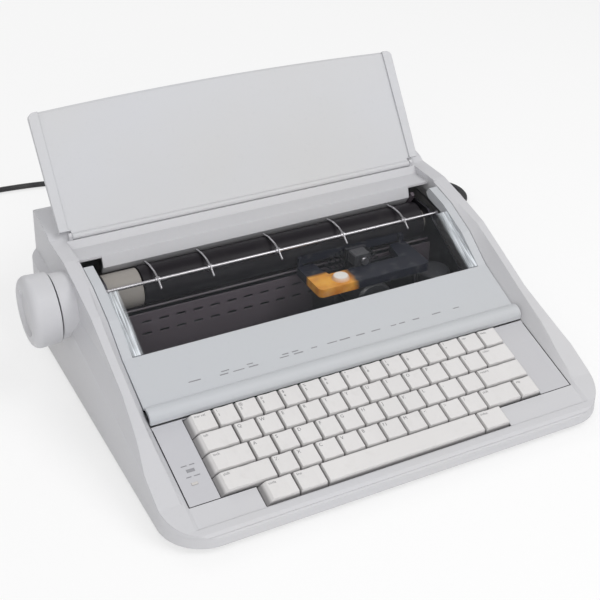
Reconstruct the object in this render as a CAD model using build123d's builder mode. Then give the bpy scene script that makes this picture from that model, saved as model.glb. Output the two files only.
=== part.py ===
from build123d import *
import math
import os

os.makedirs("parts", exist_ok=True)

# Electronic typewriter. X runs to the right, Y to the rear, Z up, in millimetres.
# The origin is on the table, midway between the four feet.
# A place is given by its distance behind the front edge and its height over the case's underside.

# Case
case_width = 394.0
case_depth = 348.0
front_corner = 37.0
rear_corner = 14.0
side_draft = 2.0
wall = 2.6
foot_height = 5.0
foot_radius = 10.0
foot_inset = 30.0
foot_x = 165.0
parting = 9.0
floor_thickness = 3.0
skin_drop = 3.4

# Shoulder rails beside the keys and the cover, and the well between them
rail_inner = 174.0
rail_slope = 8.0
rail_lip = 14.0
flank_inset = 9.0
rim_distance = 10.0
well_rear = 256.0
ledge_front = 258.0
ledge_height = 109.5
ledge_rear = 296.0
tower_height = 120.0
ledge_lip = (265.5, 103.2)
ledge_heel = (285.9, 103.2)
ledge_skin = 2.2
chute_half = 152.0
chute_toe = (262.6, 92.4)
chute_foot = (268.2, 84.0)

# Keyboard
key_pitch = 19.05
key_columns = 15.25
key_left = -147.8
key_gap = 0.65
key_tilt = 16.5
key_row_start = 103.3
deck_height_rear = 38.9
key_rise = 4.0
key_skirt = 2.5
key_travel = 3.5
key_dish = 0.5
key_dish_radius = 26.0
stem_side = 5.0
stem_clearance = 0.3
plate_gap = 0.4
plate_thickness = 1.2
deck_thickness = 2.2
deck_front_rows = 4.03
opening_clearance = 0.5
deck_clearance = 0.6
front_row_start = 1.5
front_row_end = 13.0
front_row_rows = 5.03
led_place = (-161.5, 3.05)
led_size = (5.0, 2.2)

# Top cover and window
ridge_front = 104.4
ridge_rear = 118.5
ridge_top = 50.2
panel_rear = 162.0
cover_clearance = 0.6
arm_inner = 165.0
arm_depth = 10.0
window_thickness = 2.2
window_rear = 217.0
window_rear_height = 96.0
shelf_width = 2.6
cover_hinge = (249.0, 99.5)
hinge_pin_radius = 2.5
hinge_clearance = 0.06
cover_boss_radius = 4.6

# Paper support
support_axis = (292.3, 112.4)
support_lean = 35.0
support_length = 114.5
support_half = 178.5
support_top_half = 179.5
support_wall = 3.0
support_rim = 1.6
support_rim_width = 8.0
support_bow = 4.5
support_bevel = 2.0
barrel_radius = 2.6
barrel_half = 168.0
support_pin_radius = 2.0
ear_width = 3.0
ear_gap = 0.5

# Platen, its shaft, gear and knob
platen_axis = (250.0, 74.5)
platen_radius = 17.3
platen_left = -126.0
platen_right = 152.0
shaft_radius = 6.0
running_fit = 0.06
knob_radius = 31.0
knob_back = -203.0
knob_face = -226.0
knob_dish_radius = 20.0
knob_dish = 3.0
boss_radius = 28.0
boss_face = -201.4
boss_bore = 8.0
block_left = -157.9
block_right = -127.0
block_radius = 16.5
bush_radius = 9.0
bush_left = 154.0
gear_module = 1.5
gear_teeth = 24
pinion_teeth = 12
gear_left = -168.0
gear_width = 4.0
gear_backlash = 0.35
motor_radius = 19.0
motor_left = -184.0
motor_right = -170.0

# Frame of the mechanism
plate_inner = 158.0
side_plate = 2.0
frame_front = 170.0
frame_rear = 292.0
cross_wall = 1.6

# Paper bail
bail_pivot = (238.0, 52.0)
rod_place = (230.0, 89.0)
rod_radius = 1.5
bail_arm_inner = 160.6
bail_arm_width = 2.0
bail_pin_radius = 2.0
finger_places = (-116.0, -68.0, -3.0, 62.0, 126.0)
finger_wire = 0.9
finger_gap = 0.3

# Paper path
pan_gap = 2.0
pan_wall = 1.4
pan_rear_angle = -38.0
pan_front_angle = -138.0
deflector_distance = 230.4
deflector_wall = 1.2
deflector_top = 59.0
feed_axis = (262.3, 53.2)
feed_radius = 7.0
feed_shaft = 3.0
feed_places = (-90.0, -30.0, 30.0, 90.0)
feed_width = 22.0
lever_pivot = (273.0, 62.0)
lever_left = 153.4
lever_width = 3.0

# Carriage
rail_radius = 4.0
rail_height = 15.0
front_rail = 182.0
rear_rail = 212.0
carriage_x = 70.0
carriage_half = 42.0
carriage_floor = 23.5
carriage_wall = 2.5
carriage_front = 175.0
motor_plate = 218.5
motor_plate_wall = 3.0
carriage_top = 62.0
wheel_height = 44.0
wheel_radius = 33.0
wheel_petals = 40
wheel_motor_radius = 17.8
hammer_height = 74.5
hammer_radius = 1.5
cassette_half = 56.0
cassette_height = 8.0
pulley_x = 141.0
pulley_distance = 197.0
pulley_radius = 6.5
belt_thickness = 1.2
belt_gap = 0.1
shelf_height = 20.5
shelf_thickness = 2.0
carriage_motor_radius = 15.0
carriage_motor_height = 29.0

# Electrics
board_height = 4.0
board_thickness = 1.6
switch_x = -150.0
switch_height = 36.0
switch_width = 20.0
switch_tall = 13.0
relief_x = 130.0
relief_height = 20.0
relief_length = 34.0
cord_diameter = 6.0
cord_gap = 0.1
relief_inside = 341.0
relief_flange = 9.0
relief_neck = 6.3
coil_centre = (-204.0, 508.0)
coil_outer = 43.0
coil_pitch = 7.8
coil_layer = 6.8
inward_turns = 2.5
climb_turns = 0.5
outward_turns = 2.0
coil_steps = 4
plug_level = 8.4
plug_neck = 8.0
plug_shoulder = 18.0
plug_length = 36.0
plug_width = 25.0
plug_thickness = 16.0
blade_length = 17.0
blade_gap = 12.7
blade_thickness = 1.5
blade_width = 6.3

half_depth = case_depth / 2


def y_at(distance):
    """Place along Y of a distance behind the front edge."""
    return distance - half_depth


def z_at(height):
    """Place along Z of a height over the underside of the case."""
    return foot_height + height


def spot(distance, height):
    """Point of a side view, for sketches on the YZ plane."""
    return (y_at(distance), z_at(height))


def spots(points):
    """Points of a side view, closed by the caller."""
    return [spot(distance, height) for distance, height in points]


def height_on(line, distance):
    """Height of a side-view line at a distance."""
    for (d0, h0), (d1, h1) in zip(line, line[1:]):
        if d0 <= distance <= d1:
            return h0 + (h1 - h0) * (distance - d0) / (d1 - d0)
    return line[-1][1] if distance > line[-1][0] else line[0][1]


def side_plane(x):
    """Plane that looks at the object from the right, at a place along X."""
    return Plane.YZ.offset(x)


def front_plane(distance):
    """Plane that looks at the object from the front, at a distance."""
    return Plane.XZ.offset(-y_at(distance))


def axis_plane(place):
    """Plane through an axis along X, with the radius upwards."""
    return Plane(origin=(0, y_at(place[0]), z_at(place[1])), x_dir=(1, 0, 0), z_dir=(0, -1, 0))


def axis_along_x(place):
    """Axis along X through a place of the side view."""
    return Axis((0, y_at(place[0]), z_at(place[1])), (1, 0, 0))


def save(builder, name):
    """Label a finished piece and write its file."""
    builder.part.label = name
    export_step(builder.part, f"parts/{name}.step")


# Outline of the case

tilt = math.radians(key_tilt)
deck_slope = math.tan(tilt)


def deck_height(distance):
    """Height of the sloping keyboard deck."""
    return deck_height_rear + deck_slope * (distance - key_row_start)


nose_height = deck_height(rim_distance) + 1.3
shoulder_line = [
    (0.0, nose_height - 5.0), (4.0, nose_height - 1.2), (rim_distance, nose_height),
    (33.0, deck_height(33.0) + 2.2), (58.0, 32.0), (86.0, 46.0), (117.0, 59.0), (154.0, 76.0),
    (191.0, 93.0), (224.0, 101.5), (ledge_front, ledge_height - 0.5), (ledge_rear, ledge_height),
    (302.0, tower_height - 7.0), (case_depth - 12.0, tower_height), (case_depth, tower_height - 3.0),
]
panel_rear_height = 66.0
gap_line = [
    (rim_distance, deck_height(rim_distance)), (ridge_front, deck_height(ridge_front)),
    (ridge_rear, 46.0), (panel_rear, panel_rear_height), (191.0, 86.0), (224.0, 100.0),
    (well_rear, 107.4),
]
flank_line = [
    (-20.0, 22.0, 34.0), (60.0, 33.0, 46.0), (120.0, 43.5, 61.0), (165.0, 50.0, 69.0),
    (250.0, 62.0, 75.0), (case_depth + 20.0, 79.0, 81.0),
]


def flank_cutter(side, inset):
    """Waste outside the bevel and the upright flank of one shoulder."""
    edge = case_width / 2 - inset
    with BuildPart() as cutter:
        for distance, outer_height, inner_height in flank_line:
            low = z_at(outer_height - inset / 2)
            with BuildSketch(front_plane(distance)):
                with BuildLine():
                    Polyline(
                        (side * (edge - 1.0), low),
                        (side * (edge - flank_inset), z_at(inner_height)),
                        (side * (edge - flank_inset - 1.5), z_at(tower_height + 30)),
                        (side * (edge + 30), z_at(tower_height + 30)),
                        (side * (edge + 30), low),
                        close=True,
                    )
                make_face()
        loft(ruled=True)
    return cutter.part


def case_form(inset, drop):
    """Outside of the closed case, or its hollow when set in by a wall."""
    with BuildPart() as form:
        with BuildSketch(Plane.XY.offset(foot_height)) as plan:
            Rectangle(case_width - 2 * inset, case_depth - 2 * inset)
            fillet(plan.vertices().group_by(Axis.Y)[0], front_corner - inset)
            fillet(plan.vertices().group_by(Axis.Y)[-1], rear_corner - inset)
        extrude(amount=tower_height + 20, taper=side_draft)
        with BuildSketch(Plane.YZ):
            with BuildLine():
                Polyline(
                    spot(-5, -5),
                    spot(-5, shoulder_line[0][1] - drop),
                    *spots([(d, h - drop) for d, h in shoulder_line]),
                    spot(case_depth + 5, shoulder_line[-1][1] - drop),
                    spot(case_depth + 5, -5),
                    close=True,
                )
            make_face()
        extrude(amount=case_width, both=True, mode=Mode.INTERSECT)
    return form.part


flank_outside = [flank_cutter(side, 0) for side in (-1, 1)]
flank_inside = [flank_cutter(side, wall) for side in (-1, 1)]
case_outside = case_form(0, 0)
case_hollow = case_form(wall, skin_drop)

with BuildPart() as well_cutter:
    for distance, height in gap_line:
        crest = height_on(shoulder_line, distance) + 2.0
        with BuildSketch(front_plane(distance)):
            with BuildLine():
                Polyline(
                    (-rail_inner, z_at(height)),
                    (-rail_inner - rail_slope, z_at(crest)),
                    (rail_inner + rail_slope, z_at(crest)),
                    (rail_inner, z_at(height)),
                    close=True,
                )
            make_face()
    loft(ruled=True)


def rail_skin(side):
    """Sloping inner skin of one shoulder, with the lip that turns down from it."""
    foot_line = [(key_row_start - 73.0, deck_height(key_row_start - 73.0))] + gap_line[1:]
    with BuildPart() as skin:
        for distance, height in foot_line:
            crest = height_on(shoulder_line, distance)
            top_x = rail_inner + rail_slope * (crest - height) / (crest + 2.0 - height)
            with BuildSketch(front_plane(distance)):
                with BuildLine():
                    Polyline(
                        (side * rail_inner, z_at(height)),
                        (side * top_x, z_at(crest)),
                        (side * (top_x + 2.0), z_at(crest - skin_drop)),
                        (side * (rail_inner + wall), z_at(height - wall)),
                        (side * (rail_inner + wall), z_at(height - rail_lip)),
                        (side * rail_inner, z_at(height - rail_lip)),
                        close=True,
                    )
                make_face()
        loft(ruled=True)
    return skin.part


rail_skins = [rail_skin(side) for side in (-1, 1)]

# Plane of the keyboard deck, with its origin at the upper left corner of the keys
deck_plane = Plane(
    origin=(key_left, y_at(key_row_start), z_at(deck_height_rear)),
    x_dir=(1, 0, 0),
    z_dir=(0, -math.sin(tilt), math.cos(tilt)),
)
key_columns_width = key_columns * key_pitch
deck_front = key_row_start - deck_front_rows * key_pitch * math.cos(tilt)
front_row_front = key_row_start - front_row_rows * key_pitch * math.cos(tilt)
front_row_left = key_left + front_row_start * key_pitch - opening_clearance
front_row_right = key_left + front_row_end * key_pitch + opening_clearance

boss_place = spot(*platen_axis)
relief_spot = (relief_x, z_at(relief_height))
switch_spot = (switch_x, z_at(switch_height))
pocket_wall = 2.0
pocket_depth = 13.0
ledge_crest = ledge_heel[0] + (ledge_height - ledge_heel[1]) * math.tan(math.radians(support_lean))
rear_face = case_depth - z_at(switch_height) * math.tan(math.radians(side_draft))

with BuildPart() as hollow:
    add(case_hollow)
    for waste in flank_inside:
        add(waste, mode=Mode.SUBTRACT)

# Upper case: rails, apron, ledge with its paper chute, rear tower and the boss behind the knob
with BuildPart() as upper_case:
    add(case_outside)
    for waste in flank_outside:
        add(waste, mode=Mode.SUBTRACT)
    add(hollow.part, mode=Mode.SUBTRACT)
    with BuildSketch(Plane.XY.offset(foot_height - 1)):
        Rectangle(case_width + 20, case_depth + 20)
    extrude(amount=parting + 1, mode=Mode.SUBTRACT)
    add(well_cutter.part, mode=Mode.SUBTRACT)
    with BuildSketch(Plane.XY.offset(foot_height)):
        with Locations((0, (y_at(deck_front) + y_at(ledge_front)) / 2)):
            Rectangle(2 * rail_inner, ledge_front - deck_front)
        with Locations(((front_row_left + front_row_right) / 2, y_at((deck_front + front_row_front) / 2))):
            Rectangle(front_row_right - front_row_left, deck_front - front_row_front + 0.2)
    extrude(amount=tower_height + 20, mode=Mode.SUBTRACT)
    for skin in rail_skins:
        add(skin)
    with BuildSketch(side_plane(-rail_inner)):
        with BuildLine():
            Polyline(*spots([
                (well_rear - 1.0, ledge_heel[1]), ledge_heel, (ledge_crest, ledge_height),
                (ledge_crest, tower_height), (well_rear - 1.0, tower_height),
            ]), close=True)
        make_face()
    extrude(amount=2 * rail_inner, mode=Mode.SUBTRACT)
    with BuildSketch(side_plane(-rail_inner - wall)):
        with BuildLine():
            Polyline(*spots([
                ledge_lip, ledge_heel, (ledge_crest, ledge_height), (ledge_crest + 3.0, ledge_height),
                (ledge_heel[0] + 2.0, ledge_heel[1] - ledge_skin), (ledge_lip[0], ledge_lip[1] - ledge_skin),
            ]), close=True)
        make_face()
    extrude(amount=2 * (rail_inner + wall))
    with BuildSketch(side_plane(-chute_half)):
        with BuildLine():
            Polyline(*spots([
                ledge_lip, chute_toe, chute_foot, (chute_foot[0] + ledge_skin, chute_foot[1] + 0.6),
                (chute_toe[0] + 1.2 * ledge_skin, chute_toe[1] + 0.3),
                (ledge_lip[0] + 1.8, ledge_lip[1] - ledge_skin), (ledge_lip[0] + 3.0, ledge_lip[1]),
            ]), close=True)
        make_face()
    extrude(amount=2 * chute_half)
    for side in (-1, 1):
        with BuildSketch(side_plane(side * rail_inner)):
            with BuildLine():
                Polyline(*spots([
                    (well_rear - 0.5, gap_line[-1][1] - rail_lip), (well_rear - 0.5, ledge_height - 1.0),
                    (ledge_crest + 2.0, ledge_height - 0.3), (ledge_crest + 2.0, gap_line[-1][1] - rail_lip),
                ]), close=True)
            make_face()
        extrude(amount=side * wall)
    with BuildSketch(side_plane(-case_width / 2 + 12)):
        with Locations(boss_place):
            Circle(boss_radius)
    extrude(amount=case_width / 2 - 12 + boss_face)
    with BuildSketch(side_plane(-case_width / 2 + 14)):
        with Locations(boss_place):
            Circle(boss_radius - wall)
    extrude(amount=case_width / 2 - 14 + boss_face + wall, mode=Mode.SUBTRACT)
    with BuildSketch(side_plane(-case_width / 2 + 20)):
        with Locations(boss_place):
            Circle(boss_bore)
    extrude(amount=case_width / 2 - 20 + boss_face - 1, mode=Mode.SUBTRACT)
    for side in (-1, 1):
        with BuildSketch(side_plane(side * (barrel_half + ear_gap))):
            with BuildLine():
                Polyline(*spots([
                    (support_axis[0] - 1.5, ledge_height - 1),
                    (support_axis[0] - 3, support_axis[1] + 1.5),
                    (support_axis[0], support_axis[1] + 3.4),
                    (support_axis[0] + 3, support_axis[1] + 1.5),
                    (support_axis[0] + 3, ledge_height - 1),
                ]), close=True)
            make_face()
        extrude(amount=side * ear_width)
        with BuildSketch(side_plane(side * (barrel_half + ear_gap - 1))):
            with Locations(spot(*support_axis)):
                Circle(support_pin_radius + hinge_clearance)
        extrude(amount=side * (ear_width + 2), mode=Mode.SUBTRACT)
        with BuildSketch(side_plane(side * (rail_inner - 1))):
            with Locations(spot(*cover_hinge)):
                Circle(hinge_pin_radius + hinge_clearance)
        extrude(amount=side * (wall + 3), mode=Mode.SUBTRACT)
    with BuildSketch(front_plane(case_depth - 25)):
        with Locations(relief_spot):
            Circle(cord_diameter + 0.4)
    extrude(amount=-40, mode=Mode.SUBTRACT)
    with BuildSketch(front_plane(rear_face - pocket_depth)):
        with Locations(switch_spot):
            Rectangle(switch_width + 1 + 2 * pocket_wall, switch_tall + 5 + 2 * pocket_wall)
    extrude(amount=-(pocket_depth - 1))
    with BuildSketch(front_plane(rear_face - pocket_depth + pocket_wall)):
        with Locations(switch_spot):
            Rectangle(switch_width + 1, switch_tall + 5)
    extrude(amount=-(pocket_depth + 5), mode=Mode.SUBTRACT)
    with BuildSketch(side_plane(switch_x - switch_width)):
        with Locations(spot(rear_face - 5.0, switch_height)):
            Circle(1.5 + running_fit)
    extrude(amount=2 * switch_width, mode=Mode.SUBTRACT)
save(upper_case, "upper_case")

# Lower case: a tray with posts for the screws, the circuit board and the key plate
plate_top_drop = key_skirt + key_travel + plate_gap
plate_under_drop = plate_top_drop + plate_thickness
post_places = [(-150.0, 40.0), (150.0, 40.0), (-150.0, 88.0), (150.0, 88.0)]
screw_places = [(x, d) for x in (-120.0, 0.0, 120.0) for d in (60.0, 330.0)]
screw_height = 10.0
screw_radius = 1.6
screw_head_radius = 3.5
screw_head_height = 2.2
screw_recess = 2.4
screw_post_radius = 5.5
board_left = -110.0
board_right = 60.0
board_front = 76.0
board_rear = 156.0
board_post_radius = 3.0

with BuildPart() as plate_posts:
    with BuildSketch(Plane.XY.offset(z_at(floor_thickness))):
        with Locations(*[(x, y_at(d)) for x, d in post_places]):
            Rectangle(8, 8)
    extrude(amount=60)
    split(bisect_by=deck_plane.offset(-plate_under_drop), keep=Keep.BOTTOM)

with BuildPart() as lower_case:
    add(case_outside)
    with BuildSketch(Plane.XY.offset(foot_height + parting)):
        Rectangle(case_width + 20, case_depth + 20)
    extrude(amount=tower_height + 30, mode=Mode.SUBTRACT)
    with BuildSketch(Plane.XY.offset(z_at(floor_thickness))) as tray:
        Rectangle(case_width - 2 * wall, case_depth - 2 * wall)
        fillet(tray.vertices().group_by(Axis.Y)[0], front_corner - wall)
        fillet(tray.vertices().group_by(Axis.Y)[-1], rear_corner - wall)
    extrude(amount=parting, mode=Mode.SUBTRACT)
    with BuildSketch(Plane.XY.offset(foot_height + floor_thickness)):
        with Locations(*[(x, y_at(d)) for x, d in screw_places]):
            Circle(screw_post_radius)
    extrude(amount=screw_height - floor_thickness)
    with BuildSketch(Plane.XY.offset(foot_height + floor_thickness)):
        with Locations(*[
            (x, y_at(d)) for x in (board_left + 6, board_right - 6) for d in (board_front + 6, board_rear - 6)
        ]):
            Circle(board_post_radius)
    extrude(amount=board_height - floor_thickness + 2)
    add(plate_posts.part)
    with BuildSketch(Plane.XY.offset(foot_height)):
        with Locations(*[(x, y_at(d)) for x, d in screw_places]):
            Circle(screw_radius + 0.15)
    extrude(amount=screw_height + 5, mode=Mode.SUBTRACT)
    with BuildSketch(Plane.XY.offset(foot_height)):
        with Locations(*[(x, y_at(d)) for x, d in screw_places]):
            Circle(screw_head_radius + 0.5)
    extrude(amount=screw_recess, mode=Mode.SUBTRACT)
    with BuildSketch(Plane.XY.offset(foot_height)):
        with Locations((0, y_at(200.0))):
            with GridLocations(12.0, 34.0, 16, 2):
                SlotOverall(26.0, 4.0, rotation=90)
    extrude(amount=floor_thickness + 1, mode=Mode.SUBTRACT)
save(lower_case, "lower_case")

# Rubber feet and case screws, each a group of like pieces
with BuildPart() as rubber_feet:
    with BuildSketch():
        with Locations(*[
            (side * foot_x, y_at(d)) for side in (-1, 1) for d in (foot_inset, case_depth - foot_inset)
        ]):
            Circle(foot_radius)
    extrude(amount=foot_height)
    chamfer(rubber_feet.edges().group_by(Axis.Z)[0], 1.0)
save(rubber_feet, "rubber_feet")

with BuildPart() as case_screws:
    with BuildSketch(Plane.XY.offset(foot_height + screw_recess - screw_head_height)):
        with Locations(*[(x, y_at(d)) for x, d in screw_places]):
            Circle(screw_head_radius)
    extrude(amount=screw_head_height)
    with BuildSketch(Plane.XY.offset(foot_height + screw_recess)):
        with Locations(*[(x, y_at(d)) for x, d in screw_places]):
            Circle(screw_radius)
    extrude(amount=screw_height - screw_recess)
    with BuildSketch(Plane.XY.offset(foot_height + screw_recess - screw_head_height)):
        with Locations(*[(x, y_at(d)) for x, d in screw_places]):
            Rectangle(4.0, 0.8)
            Rectangle(0.8, 4.0)
    extrude(amount=1.2, mode=Mode.SUBTRACT)
save(case_screws, "case_screws")

# Keyboard deck: a U-shaped bezel with turned-down edges, and its status light
deck_half = rail_inner - deck_clearance
deck_rear_limit = (ridge_front - 0.4 - key_row_start) / math.cos(tilt)
deck_front_local = -deck_front_rows * key_pitch
led_local = (led_place[0] - key_left, -led_place[1] * key_pitch)

with BuildPart() as keyboard_deck:
    with BuildSketch(deck_plane.offset(-deck_thickness)):
        with BuildLine():
            Polyline(
                (-deck_half - key_left, deck_front_local + 0.3),
                (-opening_clearance, deck_front_local + 0.3),
                (-opening_clearance, opening_clearance),
                (key_columns_width + opening_clearance, opening_clearance),
                (key_columns_width + opening_clearance, deck_front_local + 0.3),
                (deck_half - key_left, deck_front_local + 0.3),
                (deck_half - key_left, deck_rear_limit),
                (-deck_half - key_left, deck_rear_limit),
                close=True,
            )
        make_face()
    extrude(amount=deck_thickness)
    with BuildSketch(deck_plane.offset(-plate_top_drop)):
        for left, right in (
            (-deck_half - key_left, -deck_half - key_left + wall),
            (-opening_clearance - wall, -opening_clearance),
            (key_columns_width + opening_clearance, key_columns_width + opening_clearance + wall),
            (deck_half - key_left - wall, deck_half - key_left),
        ):
            with Locations(((left + right) / 2, deck_front_local / 2 - 1)):
                Rectangle(right - left, -deck_front_local - 8)
    extrude(amount=plate_top_drop - deck_thickness)
    with BuildSketch(deck_plane.offset(-deck_thickness)):
        with Locations(led_local):
            Rectangle(led_size[0] + 0.2, led_size[1] + 0.2)
    extrude(amount=deck_thickness, mode=Mode.SUBTRACT)
save(keyboard_deck, "keyboard_deck")

with BuildPart() as status_light:
    with BuildSketch(deck_plane.offset(-deck_thickness - 1.0)):
        with Locations(led_local):
            Rectangle(led_size[0] + 2.0, led_size[1] + 2.0)
    extrude(amount=1.0)
    with BuildSketch(deck_plane.offset(-deck_thickness)):
        with Locations(led_local):
            Rectangle(*led_size)
    extrude(amount=deck_thickness + 0.3)
save(status_light, "status_light")

# Keys: each group lists the columns at which its caps start and their widths
number_caps = [(1.25 + i, 1.0) for i in range(12)]
upper_caps = [(1.75 + i, 1.0) for i in range(12)]
home_caps = [(2.0 + i, 1.0) for i in range(11)]
lower_caps = [(2.5 + i, 1.0) for i in range(10)]
key_groups = {
    "margin_key": (0, [(0.0, 1.25)]),
    "number_row_keys": (0, number_caps),
    "correction_key": (0, [(13.25, 1.0)]),
    "backspace_key": (0, [(14.25, 1.0)]),
    "tab_key": (1, [(0.0, 1.75)]),
    "upper_row_keys": (1, upper_caps),
    "relocate_key": (1, [(13.75, 1.5)]),
    "lock_key": (2, [(0.0, 2.0)]),
    "home_row_keys": (2, home_caps),
    "return_key": (2, [(13.0, 2.25)]),
    "left_shift_key": (3, [(0.0, 2.5)]),
    "lower_row_keys": (3, lower_caps),
    "right_shift_key": (3, [(12.5, 1.75)]),
    "repeat_key": (3, [(14.25, 1.0)]),
    "code_key": (4, [(1.5, 1.5)]),
    "line_key": (4, [(3.0, 1.25)]),
    "space_bar": (4, [(4.25, 7.5)]),
    "index_key": (4, [(11.75, 1.25)]),
}
cap_side_inset = 1.0
cap_front_inset = 1.3
cap_rear_inset = 0.8
cap_wide_inset = 6.0
stem_depth = plate_under_drop + 0.1


def keycaps(row, caps):
    """Caps of one key or one row of keys, with their square stems."""
    with BuildPart() as keys:
        for column, width in caps:
            middle = (column + width / 2) * key_pitch
            length = width * key_pitch - key_gap
            across = key_pitch - key_gap
            centre_y = -(row + 0.5) * key_pitch
            long_slope = cap_wide_inset if 1.2 < width < 4 and column < 3 else cap_side_inset
            with BuildSketch(deck_plane.offset(-key_skirt)):
                with Locations((middle, centre_y)):
                    Rectangle(length, across)
            with BuildSketch(deck_plane.offset(key_rise)):
                with Locations((
                    middle + (long_slope - cap_side_inset) / 2,
                    centre_y + (cap_front_inset - cap_rear_inset) / 2,
                )):
                    Rectangle(
                        length - long_slope - cap_side_inset,
                        across - cap_front_inset - cap_rear_inset,
                    )
            loft()
            stems = (0.0,) if width < 4 else (-2.5 * key_pitch, 2.5 * key_pitch)
            with BuildSketch(deck_plane.offset(-stem_depth)):
                with Locations(*[(middle + shift, centre_y) for shift in stems]):
                    Rectangle(stem_side, stem_side)
            extrude(amount=stem_depth - key_skirt)
            if width < 4:
                dish = deck_plane * Location(
                    (middle + (long_slope - cap_side_inset) / 2, centre_y,
                     key_rise + key_dish_radius - key_dish),
                    (90, 0, 0),
                )
                with Locations(dish):
                    Cylinder(key_dish_radius, 2 * key_pitch, mode=Mode.SUBTRACT)
    return keys.part


for name, (row, caps) in key_groups.items():
    with BuildPart() as key_group:
        add(keycaps(row, caps))
    save(key_group, name)

# Key plate: the sheet that guides the stems
with BuildPart() as keyboard_plate:
    with BuildSketch(deck_plane.offset(-plate_under_drop)):
        with Locations((-key_left, -2.5 * key_pitch + 1.0)):
            Rectangle(2 * (rail_inner - 3.0), 5 * key_pitch)
        for row, caps in key_groups.values():
            for column, width in caps:
                middle = (column + width / 2) * key_pitch
                stems = (0.0,) if width < 4 else (-2.5 * key_pitch, 2.5 * key_pitch)
                with Locations(*[(middle + shift, -(row + 0.5) * key_pitch) for shift in stems]):
                    Rectangle(
                        stem_side + 2 * stem_clearance,
                        stem_side + 2 * stem_clearance,
                        mode=Mode.SUBTRACT,
                    )
    extrude(amount=plate_thickness)
save(keyboard_plate, "keyboard_plate")

# Top cover: front panel with its rolled finger ridge, and two arms to the hinge
cover_half = rail_inner - cover_clearance
arm_line = [(panel_rear, panel_rear_height), (191.0, 86.0), (224.0, 100.0), (cover_hinge[0], 105.4)]
arm_foot = [(d, h - arm_depth) for d, h in arm_line]
window_foot_height = panel_rear_height + 0.6
window_slope = math.atan2(window_rear_height - window_foot_height, window_rear - panel_rear)
window_foot = (panel_rear + 0.4, window_foot_height)
window_tip = (window_rear, window_rear_height)
window_normal = (-math.sin(window_slope), math.cos(window_slope))


def under_window(point, depth):
    """Point at a depth under the outer face of the window."""
    return (point[0] - window_normal[0] * depth, point[1] - window_normal[1] * depth)


with BuildPart() as top_cover:
    with BuildSketch(side_plane(-cover_half)):
        with BuildLine():
            Line(spot(ridge_front, 40.4), spot(ridge_front, 44.0))
            ThreePointArc(spot(ridge_front, 44.0), spot(108.6, ridge_top - 0.6), spot(ridge_rear, 47.6))
            Line(spot(ridge_rear, 47.6), spot(panel_rear, panel_rear_height))
            Line(spot(panel_rear, panel_rear_height), spot(panel_rear, panel_rear_height - 5.0))
            Line(spot(panel_rear, panel_rear_height - 5.0), spot(panel_rear - wall, panel_rear_height - 6.0))
            Line(spot(panel_rear - wall, panel_rear_height - 6.0), spot(panel_rear - wall, panel_rear_height - 3.9))
            Line(spot(panel_rear - wall, panel_rear_height - 3.9), spot(ridge_rear + 1.0, 45.2))
            ThreePointArc(spot(ridge_rear + 1.0, 45.2), spot(110.4, 46.8), spot(ridge_front + wall, 43.0))
            Line(spot(ridge_front + wall, 43.0), spot(ridge_front + wall, 40.4))
            Line(spot(ridge_front + wall, 40.4), spot(ridge_front, 40.4))
        make_face()
    extrude(amount=2 * cover_half)
    for side in (-1, 1):
        with BuildSketch(side_plane(side * arm_inner)):
            with BuildLine():
                Polyline(
                    spot(panel_rear - wall, panel_rear_height - 1.2),
                    *spots(arm_line),
                    spot(cover_hinge[0] + cover_boss_radius, cover_hinge[1]),
                    spot(cover_hinge[0], cover_hinge[1] - cover_boss_radius),
                    *spots(list(reversed(arm_foot))[1:]),
                    spot(panel_rear - wall, panel_rear_height - 6.0),
                    close=True,
                )
            make_face()
        extrude(amount=side * (cover_half - arm_inner))
        with BuildSketch(side_plane(side * (arm_inner + 1.0))):
            with Locations(spot(*cover_hinge)):
                Circle(hinge_pin_radius)
        extrude(amount=side * (rail_inner + wall + 0.5 - arm_inner - 1.0))
        with BuildSketch(side_plane(side * (arm_inner - shelf_width))):
            with BuildLine():
                Polyline(
                    *spots([
                        under_window(window_foot, window_thickness),
                        under_window(window_tip, window_thickness),
                        under_window(window_tip, window_thickness + 2.2),
                        under_window(window_foot, window_thickness + 2.2),
                    ]),
                    close=True,
                )
            make_face()
        extrude(amount=side * (shelf_width + 2.0))
save(top_cover, "top_cover")

# Clear window, held between the arms on their shelves
with BuildPart() as window:
    with BuildSketch(side_plane(-arm_inner + 0.3)):
        with BuildLine():
            Polyline(
                *spots([
                    window_foot, window_tip,
                    under_window(window_tip, window_thickness),
                    under_window(window_foot, window_thickness),
                ]),
                close=True,
            )
        make_face()
    extrude(amount=2 * (arm_inner - 0.3))
save(window, "window")

# Paper support: a plate on a hinge bar with raised sides, bowed and bevelled along its top edge
lean = math.radians(support_lean)
support_plane = Plane(
    origin=(0, y_at(support_axis[0]), z_at(support_axis[1])),
    x_dir=(1, 0, 0),
    z_dir=(0, -math.cos(lean), math.sin(lean)),
)
rim_start = 5.0
side_top = support_length - support_bow
field_half = support_half - support_rim_width

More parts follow.
